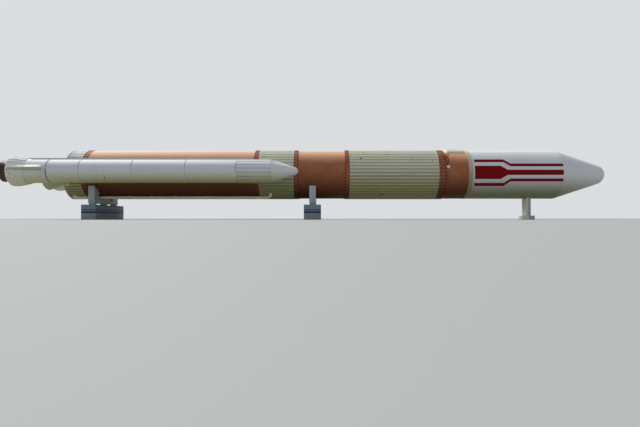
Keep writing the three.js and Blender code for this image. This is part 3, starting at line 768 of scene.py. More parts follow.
ventPort = {"x": 1.835, "elevation": 34.9, "radius": 0.034, "rim": 0.012, "rise": 0.03}
blister = {"x": 1.80, "length": 0.26, "width": 0.12, "height": 0.07}
blisterBody = ball((blister["x"], 0, coreRadius + 0.012), 0.5, 24,
                   (blister["length"], blister["width"], blister["height"]))
makeSkin("interstageSkin", "interstage", *span("interstage"), coreRadius - skins["wall"], [blisterBody])
portWay = turnX(90 - ventPort["elevation"])
portRadius, portRim, portRise = ventPort["radius"], ventPort["radius"] + ventPort["rim"], ventPort["rise"]
portRing = turned([(0.0, portRadius), (0.0, portRim), (portRise, portRim), (portRise, portRadius)],
                  24, closed=True)
upright = Matrix.Rotation(math.radians(-90), 4, "Y")
portRing = moved(portRing, portWay @ Matrix.Translation((ventPort["x"], 0, coreRadius)) @ upright)
makePiece("ventRim", [portRing], "plainCream", "primer")
darkSpots = [  # x, elevation, size and rise of each dark port in the ribbed skins
    (ventPort["x"], ventPort["elevation"], 0.036, 0.031), (3.903, 36.2, 0.021, 0.027),
    (2.91, 49.9, 0.018, 0.027), (4.716, 28.5, 0.016, 0.027), (2.637, -56.7, 0.024, 0.027),
    (2.739, -56.7, 0.024, 0.027), (-9.86, -66, 0.022, 0.027)]
spots = []
for x, elevation, size, rise in darkSpots:
    top = sidePlace(x, elevation, coreRadius + rise)
    spots.append(rod(sidePlace(x, elevation, coreRadius - 0.01), top, size, sides=20))
# dark plugs in the ports: painted shade for their insides
makePiece("skinPorts", spots, "openingDark", "steel")

engineBay = {"flange": 0.09, "flangeRadius": 1.03, "recess": 0.9, "edge": 0.006, "floor": 0.22,
             "floorWall": 0.02, "taper": 0.085, "taperFront": -9.98, "taperHeight": 0.45}
bayStart, bayEnd = span("engine_section")
flangeEnd = bayStart + engineBay["flange"]
recess, flangeRadius, edge = engineBay["recess"], engineBay["flangeRadius"], engineBay["edge"]
floorStart = bayStart + engineBay["floor"]
floorEnd = floorStart + engineBay["floorWall"]
bayParts = [
    turned([(bayStart + 0.004, recess), (bayStart, recess + 0.004), (bayStart, flangeRadius - edge),
            (bayStart + edge, flangeRadius), (flangeEnd - edge, flangeRadius),
            (flangeEnd, flangeRadius - edge), (flangeEnd, recess)], 160, closed=True),
    turned([(floorStart, 0), (floorStart, recess + 0.01), (floorEnd, recess + 0.01), (floorEnd, 0)], 96),
    around(stud(bayStart + 0.022, flangeRadius - 0.001, 0.007, 0.003), 90),
    around(stud(bayStart + 0.068, flangeRadius - 0.001, 0.007, 0.003, angle=2), 90),
    ringOf(bayStart + 0.044, bayStart + 0.049, 1.0, flangeRadius + 0.002, 0.001, 160),
]
baySkin = makeSkin("engineBaySkin", "engine_section", flangeEnd, bayEnd, recess, bayParts)
for vert in baySkin.data.vertices:  # its upper rear end is drawn in
    out = vert.co - coreAxis
    share = min(1.0, max(0.0, (engineBay["taperFront"] - out.x) / (engineBay["taperFront"] - bayStart)))
    share *= min(1.0, max(0.0, out.z / engineBay["taperHeight"])) * engineBay["taper"]
    vert.co.y -= out.y * share
    vert.co.z -= out.z * share

shieldStart, shieldEnd = span("heat_shield")
shieldLow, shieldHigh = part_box("heat_shield")
shieldOuter = (shieldHigh.y - shieldLow.y) / 2
shieldHole = 0.2
shieldParts = [turned([(shieldStart, shieldHole), (shieldStart, shieldOuter - 0.01),
                       (shieldStart + 0.01, shieldOuter), (shieldEnd, shieldOuter), (shieldEnd, shieldHole)],
                      128, closed=True)]
seam = block((0.006, 0.02, shieldOuter - shieldHole - 0.03),
             (shieldStart - 0.002, 0, (shieldOuter + shieldHole) / 2), bevel=0.002)
shieldParts.append(around(seam, 16))
for distance in (0.22, 0.52, 0.86):
    low, high, out = shieldStart - 0.004, shieldStart + 0.004, distance + 0.02
    shieldParts.append(turned([(low, distance), (low, out), (high, out), (high, distance)], 96, closed=True))
    screwOut = distance + 0.01
    fixing = rod((shieldStart - 0.008, 0, screwOut), (shieldStart + 0.002, 0, screwOut), 0.006, sides=6)
    shieldParts.append(around(fixing, 48))
makePiece("heatShieldPanels", shieldParts, "insulationBlanket", "grey_paint", ["heat_shield"])
print("skins and engine bay made")

# Main engine: it rides on its own body

engine = {"pivot": -9.97, "clevis": -10.0125, "throat": -10.23, "throatRadius": 0.11, "exit": -11.19,
          "exitRadius": 0.63, "wall": 0.014, "steps": 28, "chamber": 0.16, "dome": -10.045, "domeWall": 0.03,
          "bands": (0.2, 0.36, 0.52, 0.68, 0.84), "tubes": 120, "tubeSteps": 14, "tubeStart": 0.06,
          "tubeRun": 0.9, "manifold": 0.28, "manifoldPipe": 0.03, "pumpX": -10.43, "pumpSide": 0.285,
          "inletX": -10.165, "outletX": -10.3}


def bellPoint(share, grow=0.0):
    flare = 1.55 * share - 0.55 * share * share
    radius = engine["throatRadius"] + (engine["exitRadius"] - engine["throatRadius"]) * flare + grow
    return engine["throat"] + (engine["exit"] - engine["throat"]) * share, radius


bellOutside = [bellPoint(step / engine["steps"], -0.003) for step in range(engine["steps"] + 1)]
bellInside = [bellPoint(step / engine["steps"], -engine["wall"]) for step in range(engine["steps"] + 1)]
throat, chamber, dome, domeWall = (engine[name] for name in ("throat", "chamber", "dome", "domeWall"))
bellShell = turned([*reversed(bellOutside), (throat + 0.03, 0.125), (throat + 0.07, chamber - 0.01),
                    (throat + 0.09, chamber), (dome - domeWall, chamber), (dome, chamber - domeWall),
                    (dome, 0.0), (dome - domeWall, 0.0), (dome - domeWall, chamber - domeWall),
                    (throat + 0.075, chamber - domeWall), *bellInside], 128, closed=True)
bellParts = [bellShell]
for share in engine["bands"]:  # stiffening bands round the bell
    x, radius = bellPoint(share)
    bellParts.append(ringOf(x - 0.011, x + 0.011, radius - 0.012, radius + 0.007, 0.003, 112))
exitX, exitRadius = bellPoint(1.0)
bellParts.append(ringOf(exitX, exitX + 0.03, exitRadius - 0.014, exitRadius, 0.003, 128))
tube = bmesh.new()  # the cooling tubes show as fine ridges along the bell
lastStep = engine["tubeSteps"]
for step in range(lastStep + 1):
    x, radius = bellPoint(engine["tubeStart"] + engine["tubeRun"] * step / lastStep)
    for side, rise in ((-1, -0.004), (0, 0.002), (1, -0.004)):
        tube.verts.new((x, side * radius * math.pi / engine["tubes"] * 0.8, radius - 0.003 + rise))
tube.verts.ensure_lookup_table()
for step in range(lastStep):
    for corners in ((0, 1, 4, 3), (1, 2, 5, 4), (0, 3, 5, 2)):
        tube.faces.new([tube.verts[step * 3 + corner] for corner in corners])
for first in (0, lastStep * 3):
    tube.faces.new([tube.verts[first + number] for number in range(3)])
bellParts.append(around(tube, engine["tubes"]))
pipeRadius = engine["manifoldPipe"]
manifoldX, manifoldRadius = bellPoint(engine["manifold"], pipeRadius)
manifold = []
for step in range(12):
    turn = math.tau * step / 12
    manifold.append((manifoldX + pipeRadius * math.cos(turn), manifoldRadius + pipeRadius * math.sin(turn)))
bellParts.append(turned(manifold, 96, closed=True))
for sign in (-1, 1):  # clevis ears, a turbopump on each side and their pipes
    bellParts.append(block((0.085, 0.064, 0.03), (engine["clevis"], 0, sign * 0.075), bevel=0.004))
    pin = [(engine["pivot"], 0, sign * out) for out in (0.06, 0.09)]
    bellParts.append(rod(*pin, 0.032, sides=32))
    pump = turned([(0.0, 0.0), (0.0, 0.05), (0.02, 0.068), (0.07, 0.068), (0.09, 0.046), (0.16, 0.046),
                   (0.17, 0.06), (0.22, 0.06), (0.24, 0.03), (0.24, 0.0)], 40)
    pumpY, inletX, outletX = sign * engine["pumpSide"], engine["inletX"], engine["outletX"]
    bellParts.append(moved(pump, Matrix.Translation((engine["pumpX"], pumpY, 0))))
    bellParts.append(pipe([(inletX - 0.025, pumpY, 0), (inletX, pumpY, 0), (inletX, sign * 0.17, 0.03),
                           (inletX, sign * 0.13, 0.04)], 0.024, bend=0.03))
    bellParts.append(pipe([(outletX, sign * 0.31, 0.05), (outletX, sign * 0.31, 0.16),
                           (outletX - 0.12, sign * 0.22, 0.24), (manifoldX, sign * 0.1, manifoldRadius)],
                          0.022, bend=0.05))
    bellParts.append(rod((-10.34, sign * 0.24, 0), (-10.36, sign * 0.14, 0), 0.022))
makePiece("mainEngineBell", bellParts, "plainCream", "primer", ["engine_bell"], "main_engine")

for node in ("engine_mount", "engine_gimbal"):
    repaint(node, "bareSteel")

# Feed line along the lower right side

feedLine = {"radius": 0.0605, "distance": 1.09, "angle": 26, "bend": 0.095, "start": -9.862, "end": -1.85,
            "elbowRaised": 9, "sides": 28, "clampStep": 0.93, "clampWidth": 0.035, "joint": -4.47}
feedStart, feedEnd, feedOut = feedLine["start"], feedLine["end"], feedLine["distance"]
elbowX, elbowRaised, feedSides = feedEnd + 0.03, feedLine["elbowRaised"], feedLine["sides"]


def feedPlace(x, distance, raised=0.0):
    angle = math.radians(feedLine["angle"] + raised)
    return Vector((x, -distance * math.sin(angle), -distance * math.cos(angle)))


def feedSleeve(start, end, grow):  # a ring over the pipe
    return rod(feedPlace(start, feedOut), feedPlace(end, feedOut), feedLine["radius"] + grow, sides=feedSides)


feedRoute = [feedPlace(feedStart, 0.99), feedPlace(feedStart, feedOut), feedPlace(feedEnd - 0.06, feedOut),
             feedPlace(elbowX, feedOut - 0.02, elbowRaised - 1), feedPlace(elbowX, 0.99, elbowRaised)]
feedParts = [pipe(feedRoute, feedLine["radius"], feedSides, feedLine["bend"], 10)]
for x, raised in ((feedStart, 0), (elbowX, elbowRaised)):
    feedParts.append(rod(feedPlace(x, 0.99, raised), feedPlace(x, 1.035, raised), 0.079, 0.074, feedSides))
clampCount = int((feedEnd - feedStart - 0.4) / feedLine["clampStep"])
for number in range(clampCount + 1):  # clamp rings on small feet
    x = feedStart + 0.35 + number * feedLine["clampStep"]
    feedParts.append(feedSleeve(x - feedLine["clampWidth"] / 2, x + feedLine["clampWidth"] / 2, 0.003))
    feedParts.append(block((0.04, 0.03, 0.07), (x, 0.02, -1.02), -feedLine["angle"], 0.004))
for way in (-1, 1):  # the one joint that shows as a dark line
    feedParts.append(feedSleeve(feedLine["joint"] + way * 0.004, feedLine["joint"] + way * 0.02, 0.012))
makePiece("feedLinePipe", feedParts, "feedCream", "primer", ["feed_line"])

# Upper stage details

hump = {"low": -3, "high": 35, "height": 0.062, "rearRun": 0.42, "frontRun": 0.28, "sideRun": 0.3}
humpStart, humpEnd = span("tunnel_hump")
humpPart = bmesh.new()
humpRows, humpColumns = 14, 26
bmesh.ops.create_grid(humpPart, x_segments=humpColumns, y_segments=humpRows, size=1)
for vert in humpPart.verts:  # a long low blister, rounded at its ends and sides
    lengthwise, sideways = vert.co.x, vert.co.y
    x = (humpStart + humpEnd) / 2 + lengthwise * (humpEnd - humpStart) / 2
    angle = math.radians(90 + (hump["low"] + hump["high"]) / 2 + sideways * (hump["high"] - hump["low"]) / 2)
    endRise = min(1.0, (1 - abs(lengthwise)) / (hump["rearRun"] if lengthwise < 0 else hump["frontRun"]))
    sideRise = min(1.0, (1 - abs(sideways)) / hump["sideRun"])
    rise = math.sin(endRise * math.pi / 2) * math.sin(sideRise * math.pi / 2)
    distance = coreRadius - 0.012 + (hump["height"] + 0.011) * rise
    vert.co = (x, distance * math.cos(angle), distance * math.sin(angle))
floor = bmesh.ops.extrude_face_region(humpPart, geom=humpPart.faces[:])
for vert in newVerts(floor):
    scaled(vert, (coreRadius - 0.03) / vert.co.yz.length)
makePiece("tunnelBlister", [humpPart], "plainCream", "primer", ["tunnel_hump"], smooth=50)

boxLow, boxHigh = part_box("side_box")
boxX, boxSize = (boxLow.x + boxHigh.x) / 2, boxHigh.x - boxLow.x
boxLean = -13  # it sits a little above the middle of the side
boxParts = []
for trim, thick, out, bevel in ((0.004, 0.098, 0.011, 0.008), (0.03, 0.006, 0.058, 0.002)):
    size = (boxSize - trim, thick, boxSize - trim)  # first the box, then its lid
    boxParts.append(block(size, (boxX, -(coreRadius + out), 0), boxLean, bevel))
screwReach = boxSize / 2 - 0.018
for cornerX in (-screwReach, screwReach):
    for cornerZ in (-screwReach, screwReach):
        screw = [(boxX + cornerX, -(coreRadius + out), cornerZ) for out in (0.05, 0.062)]
        boxParts.append(moved(rod(*screw, 0.005, sides=6), turnX(boxLean)))
makePiece("sideBoxCover", boxParts, "tunnelPaint", "white_paint", ["side_box"])

# Foam-covered pipes and fittings beside the upper band
pipeRuns = [  # x and elevation of each corner, and the pipe's radius
    ([(5.13, 44), (5.33, 44), (5.36, 39), (5.36, 26), (5.31, 22)], 0.012),
    ([(5.16, 38), (5.27, 37), (5.29, 33), (5.29, 12), (5.26, 8)], 0.011),
    ([(5.24, 52), (5.3, 50), (5.40, 50), (5.42, 47)], 0.011),
]
fittings = [  # x, elevation, size
    (5.30, 41, 0.05), (5.25, 31, 0.042), (5.36, 30, 0.036), (5.31, 20, 0.04), (5.26, 12, 0.034),
    (5.29, -8, 0.032), (5.25, -24, 0.03), (5.33, 2, 0.03)]
plumbing = []
for corners, radius in pipeRuns:
    places = [sidePlace(x, elevation, coreRadius + 0.02) for x, elevation in corners]
    places = [sidePlace(corners[0][0], corners[0][1], coreRadius - 0.01), *places,
              sidePlace(corners[-1][0], corners[-1][1], coreRadius - 0.01)]
    plumbing.append(pipe(places, radius, 12, 0.04, 5))
for x, elevation, size in fittings:
    plumbing.append(block((size, 0.05, size * 1.1), (x, -(coreRadius + 0.012), 0), -elevation, 0.006))
makePiece("upperPlumbing", plumbing, "bandPaint", "band")
valveFoot, valveTop = (sidePlace(5.28, 34, coreRadius + rise) for rise in (0, 0.04))
valve = [rod(valveFoot, valveTop, 0.018, sides=20), ball(valveTop, 0.018, 16)]
makePiece("pressureValve", valve, "bandPaint", "band")

adapterStart, adapterEnd = span("adapter_ring")
adapterParts = [
    turned([(adapterStart, 0.9), (adapterStart, coreRadius + 0.003),
            (adapterStart + 0.018, coreRadius + 0.006), (adapterStart + 0.022, coreRadius + 0.002),
            (adapterEnd - 0.03, coreRadius + 0.002),
            (adapterEnd - 0.026, coreRadius + 0.006), (adapterEnd, coreRadius + 0.005), (adapterEnd, 0.9)],
           160, closed=True),
    around(stud(adapterStart + 0.035, coreRadius + 0.002, 0.005, 0.002), 120),
    around(stud(adapterEnd - 0.042, coreRadius + 0.002, 0.005, 0.002), 120)]
makePiece("adapterRing", adapterParts, "creamPrimer", "primer", ["adapter_ring"])
adapterMiddle = (adapterStart + adapterEnd) / 2 - 0.012
adapterPorts = []
for elevation in (19.7, -1.6, 90, 150, 210, 270):
    ends = [sidePlace(adapterMiddle, elevation, distance) for distance in (0.99, 1.0045)]
    adapterPorts.append(rod(*ends, 0.011, sides=16))
# dark plugs in the ports: painted shade for their insides
makePiece("adapterPorts", adapterPorts, "openingDark", "steel")

# Fairing

fairing = {"tipRadius": 0.416, "steps": 176, "strapWidth": 0.05, "strapRise": 0.0035, "strapBolts": 0.09,
           "groove": 0.003, "grooveEnd": 0.063, "capAngle": 28}
fairingStart, shoulderX = span("fairing_cylinder")
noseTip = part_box("fairing_nose")[1].x
tipCentre = noseTip - fairing["tipRadius"]
noseSlope = math.atan2(coreRadius, tipCentre - shoulderX) - math.asin(
    fairing["tipRadius"] / math.hypot(coreRadius, tipCentre - shoulderX))
grooveFloor, grooveEnd = coreRadius - fairing["groove"], fairingStart + fairing["grooveEnd"]
shellRadius = coreRadius - 0.0005
cylinderOutline = [(fairingStart, 0.0), (fairingStart, coreRadius - 0.006),
                   (fairingStart + 0.006, coreRadius), (grooveEnd - 0.008, coreRadius),
                   (grooveEnd - 0.007, grooveFloor),
                   (grooveEnd - 0.001, grooveFloor), (grooveEnd, shellRadius)]
for step in range(1, 25):
    cylinderOutline.append((grooveEnd + (shoulderX - grooveEnd) * step / 24, shellRadius))
cylinderOutline.append((shoulderX, 0.0))
cylinderParts = [turned(cylinderOutline, fairing["steps"])]
cylinderParts.append(around(stud(fairingStart + 0.03, coreRadius, 0.0055, 0.002), 96))
makePiece("fairingShell", cylinderParts, "fairingPaint", "white_paint", ["fairing_cylinder"])

coneStart, coneStartRadius = shoulderX + 0.012, coreRadius - 0.0015
noseOutline = [(shoulderX, 0.0), (shoulderX, shellRadius), (coneStart, coneStartRadius)]
tipRadius = fairing["tipRadius"]
coneEnd = math.pi / 2 - noseSlope


def tipPoint(angle, depth=0.0):
    radius = tipRadius - depth
    return tipCentre + radius * math.cos(angle), radius * math.sin(angle)


coneX, coneRadius = tipPoint(coneEnd)
for step in range(1, 17):
    share = step / 16
    noseOutline.append((coneStart + (coneX - coneStart) * share,
                        coneStartRadius + (coneRadius - coneStartRadius) * share))
capAngle = math.radians(fairing["capAngle"])
arcSteps = 22
for step in range(1, arcSteps + 1):
    angle = coneEnd * (1 - step / arcSteps)
    previous = coneEnd * (1 - (step - 1) / arcSteps)
    if previous > capAngle >= angle:  # the tip cap's joint
        for way, depth in ((0.012, 0.0), (0.009, 0.003), (-0.009, 0.003), (-0.012, 0.0)):
            noseOutline.append(tipPoint(capAngle + way, depth))
    noseOutline.append(tipPoint(angle))
makePiece("fairingNose", [turned(noseOutline, fairing["steps"])], "fairingPaint", "white_paint",
          ["fairing_nose"])

strapParts = []
for side in (90, -90):  # the joint of the two fairing halves, over the top and under the belly
    strap = block((shoulderX - fairingStart - 0.08, 2 * fairing["strapRise"], fairing["strapWidth"]),
                  ((fairingStart + 0.07 + shoulderX) / 2, -(coreRadius - 0.002), 0), -side, 0.0015)
    strapParts.append(strap)
    bolt = rod((fairingStart + 0.12, -coreRadius, 0), (fairingStart + 0.12, -(coreRadius + 0.004), 0), 0.005,
               sides=6)
    count = int((shoulderX - fairingStart - 0.2) / fairing["strapBolts"])
    strapParts.append(moved(along(bolt, count, (fairing["strapBolts"], 0, 0)), turnX(-side)))
makePiece("fairingStraps", strapParts, "fairingPaint", "white_paint")
print("engine, upper stage and fairing made")

# Boosters: modelled for the right one, mirrored for the left

booster = {"steps": 112, "rim": -11.68, "rimRadius": 0.5675, "flareEnd": -11.46, "flareStart": -10.9,
           "aftRing": -10.232, "ringHalf": 0.038, "ringRadius": 0.474, "wall": 0.02, "pivot": -10.7,
           "lip": 0.034, "forwardSkirt": -3.0, "cone": -1.672, "tip": -0.658, "tipRadius": 0.15}
skirtFins = {"count": 24, "height": 0.012, "width": 0.062, "from": -11.65, "to": -11.09, "run": 0.05}
cableTunnel = {"start": -11.24, "end": -2.4, "distance": 0.524, "width": 0.11, "lean": -10, "strapStep": 0.87,
               "jointLow": -10.39, "jointHigh": -10.09}
sideHousing = {"elevation": 13, "top": 0.605, "width": 0.178, "rearWidth": 0.15, "rearDrop": 0.5, "cut": 0.09,
               "ridge": 0.008, "shift": 0.03, "start": -11.64, "step": -10.95, "end": -10.342}
skirtPanels = {"count": 18, "base": skirtGroove, "height": 0.012, "share": 0.9, "margin": 0.012, "steps": 6,
               "turn": 10}
nozzle = {"throat": -10.76, "length": 1.3, "throatRadius": 0.165, "grow": 0.245, "wall": 0.024, "steps": 18,
          "front": -10.575, "frontRadius": 0.17, "bearing": 0.155, "pin": 0.244, "pinRadius": 0.022}
frontStrut = {"x": -2.0, "body": (0.34, 0.19, 0.14), "bodyOut": 0.49, "plate": (0.42, 0.05, 0.2),
              "plateOut": 0.46, "boltX": 0.18, "boltZ": 0.075}
aftStrut = {"low": Vector((-10.232, 0.21, 0.4)), "high": Vector((-9.94, 0.65, 0.425)), "radius": 0.034,
            "collar": 0.048, "plateStart": -10.048, "plateEnd": -9.832, "plateInner": 1.0,
            "plateOuter": 1.054, "plateHalf": 30}
darkMarks = [  # x, radius, size, rise and angle of each dark spot
    (-11.6, booster["rimRadius"], 0.022, 0.012, 88.5), (-11.535, booster["rimRadius"], 0.017, 0.012, 104),
    (-10.3, boosterRadius, 0.018, 0.008, 96), (-3.037, boosterRadius + 0.002, 0.014, 0.004, 73.5)]
caseGap = 0.0003  # between one case and the next
ringStart = booster["aftRing"] - booster["ringHalf"]
ringEnd = booster["aftRing"] + booster["ringHalf"]


def skirtRadius(x):  # outside of the aft skirt
    share = (booster["flareStart"] - x) / (booster["flareStart"] - booster["flareEnd"])
    share = min(1.0, max(0.0, share))
    return boosterRadius + (booster["rimRadius"] - boosterRadius) * share


def aftSkirtParts():
    rim, wall = booster["rim"], booster["wall"]
    outside = [(rim, skirtRadius(rim) - 0.004), (rim + 0.004, skirtRadius(rim))]
    corners = [booster["flareEnd"], booster["flareStart"]]
    outside += [(x, skirtRadius(x)) for x in corners] + [(ringStart, boosterRadius)]
    inside = [(x, radius - wall) for x, radius in reversed(outside)]
    inside[-2:] = [(rim, skirtRadius(rim) - wall)]
    parts = [turned(outside + inside, booster["steps"], closed=True)]
    height = skirtFins["height"]
    first, last, run = skirtFins["from"], skirtFins["to"], skirtFins["run"]
    top = [(x, skirtRadius(x) + height) for x in (first + 0.01, booster["flareEnd"], last - run)]
    under = [(x, skirtRadius(x) - 0.006) for x in (last, booster["flareEnd"], first)]
    finPart = fin([*top, (last, skirtRadius(last)), *under], skirtFins["width"], 0.004)
    parts.append(around(moved(finPart, turnX(7.5)), skirtFins["count"]))
    for x, half, rise in [(rim + 0.02, 0.02, 0.008), (-11.07, 0.007, 0.014), (-10.88, 0.012, 0.006),
                          (ringStart - 0.03, 0.01, 0.004)]:
        parts.append(hoop(x - half, x + half, skirtRadius, 0.008, rise - 0.001, booster["steps"]))
    parts.append(around(stud(rim + 0.02, booster["rimRadius"] + 0.008, 0.006, 0.003), 72))
    for way in (-1, 1):  # bearings of the gimbal ring
        bearing = ringOf(0.3, 0.446, 0.0225, 0.055, 0.003, 40)
        parts.append(moved(bearing, Matrix.Translation((booster["pivot"], 0, 0)) @
                           Matrix.Rotation(math.radians(90 * way), 4, "Z")))
    return parts


def nozzlePoint(share, grow=0.0):
    radius = nozzle["throatRadius"] + nozzle["grow"] * (1.2 * share - 0.2 * share * share)
    return nozzle["throat"] - nozzle["length"] * share, radius + grow


def nozzleParts():
    steps, wall = nozzle["steps"], nozzle["wall"]
    front, frontRadius = nozzle["front"], nozzle["frontRadius"]
    outside = [nozzlePoint(1 - step / steps) for step in range(steps + 1)]
    inside = [nozzlePoint(step / steps, -wall) for step in range(steps + 1)]
    parts = [turned([*outside, (front, frontRadius), (front, frontRadius - wall), *inside], 112, closed=True)]
    for share, width, rise in [(0.975, 0.035, 0.006), (0.78, 0.02, 0.004), (0.5, 0.02, 0.005),
                               (0.3, 0.03, 0.006)]:
        x, radius = nozzlePoint(share)
        parts.append(ringOf(x - width / 2, x + width / 2, radius - 0.012, radius + rise, 0.002, 112))
    for way in (-1, 1):
        pin = [(booster["pivot"], 0, way * out) for out in (nozzle["bearing"], nozzle["pin"])]
        parts.append(rod(*pin, nozzle["pinRadius"], sides=32))
    return parts


def aftRingParts():
    low, centre, slot = boosterRadius - booster["wall"], booster["aftRing"], 0.007
    foot, high = boosterRadius + 0.004, booster["ringRadius"] - 0.02
    groove = high - 0.008
    parts = [turned([(ringStart, low), (ringStart, foot), (ringStart + 0.024, high),
                     (centre - slot - 0.002, high), (centre - slot, groove),
                     (centre + slot, groove), (centre + slot + 0.002, high),
                     (ringEnd - 0.024, high), (ringEnd, foot), (ringEnd, low)],
                    booster["steps"], closed=True)]
    for x in (ringStart + 0.027, ringEnd - 0.027):
        parts.append(around(stud(x, high, 0.003, 0.002, 6), 60))
    bracket = block((0.06, 0.07, 0.03), (centre - 0.018, 0, high + 0.008), bevel=0.004)
    parts.append(moved(bracket, turnX(76.5)))
    return parts


def caseParts(start, end, lip, dome):
    joint, top = booster["lip"], boosterRadius + jointLip
    if dome:
        edge = boosterRadius - 0.026
        outline = [(-10.522, 0.0), (-10.522, 0.16), (-10.515, 0.2), (-10.49, 0.262), (-10.442, 0.33),
                   (-10.39, 0.384), (-10.33, edge), (start, edge), (start, boosterRadius)]
    else:
        outline = [(start, 0.0), (start, boosterRadius)]
    outline += [(start + 0.012, boosterRadius), (start + 0.016, boosterRadius - 0.003),
                (start + 0.02, boosterRadius)]
    if not lip:
        return [turned([*outline, (end, boosterRadius), (end, 0.0)], booster["steps"])]
    first = end - joint
    outline += [(first, boosterRadius), (first + 0.003, top), (first + 0.012, top),
                (first + 0.0135, top - 0.003), (first + 0.0165, top - 0.003), (first + 0.018, top),
                (end - 0.002, top), (end, top - 0.002), (end, 0.0)]
    pins = around(stud(first + 0.026, top, 0.0042, 0.0018, 6), 90)
    return [turned(outline, booster["steps"]), pins]


def tunnelParts():
    start, end, top = cableTunnel["start"], cableTunnel["end"], cableTunnel["distance"]
    low = boosterRadius - 0.012
    width = cableTunnel["width"]
    cover = fin([(start, skirtRadius(start) - 0.006), (start + 0.03, top), (end - 0.09, top),
                 (end, low + 0.015), (end, low), (booster["flareStart"], low)], width, 0.008)
    parts = [cover]
    for x in (cableTunnel["jointLow"], cableTunnel["jointHigh"]):
        parts.append(block((0.02, width + 0.008, 0.02), (x, 0, top - 0.007), bevel=0.002))
    strap = block((0.028, width + 0.006, top - low + 0.003), (start + 1.6, 0, (top + low) / 2 + 0.0015),
                  bevel=0.002)
    count = int((end - start - 1.7) / cableTunnel["strapStep"]) + 1
    parts.append(along(strap, count, (cableTunnel["strapStep"], 0, 0)))
    for side in (-1, 1):
        centre = ((end + ringEnd) / 2, side * (width / 2 + 0.008), boosterRadius - 0.003)
        parts.append(block((end - ringEnd - 0.05, 0.02, 0.008), centre, bevel=0.001))
        screw = [(ringEnd + 0.1, side * (width / 2 + 0.01), boosterRadius + rise) for rise in (-0.002, 0.004)]
        parts.append(along(rod(*screw, 0.004, sides=6), 70, (0.109, 0, 0)))
    return [moved(part, turnX(cableTunnel["lean"])) for part in parts]


def podOutline(half, top, low, cut):  # a low roof with a narrow ridge
    ridge, shift = sideHousing["ridge"], sideHousing["shift"]
    return [(-half, low), (-half, top - cut), (-shift - ridge, top), (ridge - shift, top),
            (half, top - cut), (half, low)]


def housingParts():
    start, step, end = sideHousing["start"], sideHousing["step"], sideHousing["end"]
    top, cut = sideHousing["top"], sideHousing["cut"]
    low = boosterRadius - 0.012
    half, rearHalf = sideHousing["width"] / 2, sideHousing["rearWidth"] / 2
    flareStart, flareEnd = booster["flareStart"], booster["flareEnd"]
    front = lofted([(step, podOutline(half, top, skirtRadius(step) - 0.012, cut)),
                    (flareStart, podOutline(half, top, low, cut)),
                    (end - 0.16, podOutline(half, top, low, cut)),
                    (end - 0.07, podOutline(half - 0.004, top - 0.02, low, cut * 0.9)),
                    (end - 0.02, podOutline(half - 0.016, top - 0.06, low, cut * 0.6)),
                    (end, podOutline(half - 0.03, top - 0.1, low, cut * 0.3))])
    rearCut = cut * 0.8
    rear = lofted([(x, podOutline(rearHalf, top - drop, skirtRadius(foot) - 0.012, rearCut * share))
                   for x, foot, drop, share in ((start, start, 0.004, 0.6), (flareEnd, flareEnd, 0.003, 0.65),
                                                (step + 0.02, step, 0.002, 1.0))])
    middleUp = turnX(90 - sideHousing["elevation"])
    parts = [moved(bevelled(front, 0.008), middleUp),
             moved(bevelled(rear, 0.008), turnX(90 - sideHousing["elevation"] + sideHousing["rearDrop"]))]
    for way in (-1, 1):
        x, across, height = step + 0.06, way * (half - 0.012), top - cut * 0.86
        screw = rod((x, across, height - 0.004), (x, across + way * 0.002, height + 0.004), 0.005, sides=6)
        parts.append(moved(along(screw, 8, (0.06, 0, 0)), middleUp))
    return parts


def forwardSkirtParts():
    start, end = booster["forwardSkirt"], booster["cone"]
    base, top = skirtPanels["base"], skirtPanels["base"] + skirtPanels["height"]
    pitch = math.tau / skirtPanels["count"]
    half = pitch * skirtPanels["share"] / 2
    angles = [half * (2 * step / skirtPanels["steps"] - 1) for step in range(skirtPanels["steps"] + 1)]
    margin = skirtPanels["margin"]
    outline = [((base - 0.01) * math.sin(angle), (base - 0.01) * math.cos(angle)) for angle in angles]
    outline += [(top * math.sin(angle), top * math.cos(angle)) for angle in reversed(angles)]
    panel = drawnOut(outline, start + margin, end - margin)
    for vert in panel.verts:  # ends and sides slope in at the top
        if vert.co.yz.length > base:
            vert.co.x += 0.006 if vert.co.x < (start + end) / 2 else -0.006
            vert.co.y *= 0.93
    skin = ringOf(start, end, base - 0.03, base, 0.001, 128)
    return [skin, around(moved(panel, turnX(skirtPanels["turn"])), skirtPanels["count"])]


def noseConeParts():
    start, tip, tipRadius = booster["cone"], booster["tip"], booster["tipRadius"]
    centre = tip - tipRadius
    reach = math.hypot(boosterRadius, centre - start)
    slope = math.atan2(boosterRadius, centre - start) - math.asin(tipRadius / reach)
    turnEnd = math.pi / 2 - slope
    coneX, coneR = centre + tipRadius * math.cos(turnEnd), tipRadius * math.sin(turnEnd)

    def coneAt(x):
        return boosterRadius + (coneR - boosterRadius) * (x - start) / (coneX - start)

    outline = [(start, 0.0), (start, boosterRadius)]
    for step in range(1, 13):
        x = start + (coneX - start) * step / 12
        outline.append((x, coneAt(x)))
    for step in range(1, 13):
        angle = turnEnd * (1 - step / 12)
        outline.append((centre + tipRadius * math.cos(angle), tipRadius * math.sin(angle)))
    parts = [turned(outline, 128)]
    for share, width in ((0.012, 0.03), (0.9, 0.012)):
        x = start + (coneX - start) * share
        parts.append(hoop(x, x + width, coneAt, 0.01, 0.0025, 128))
    return parts


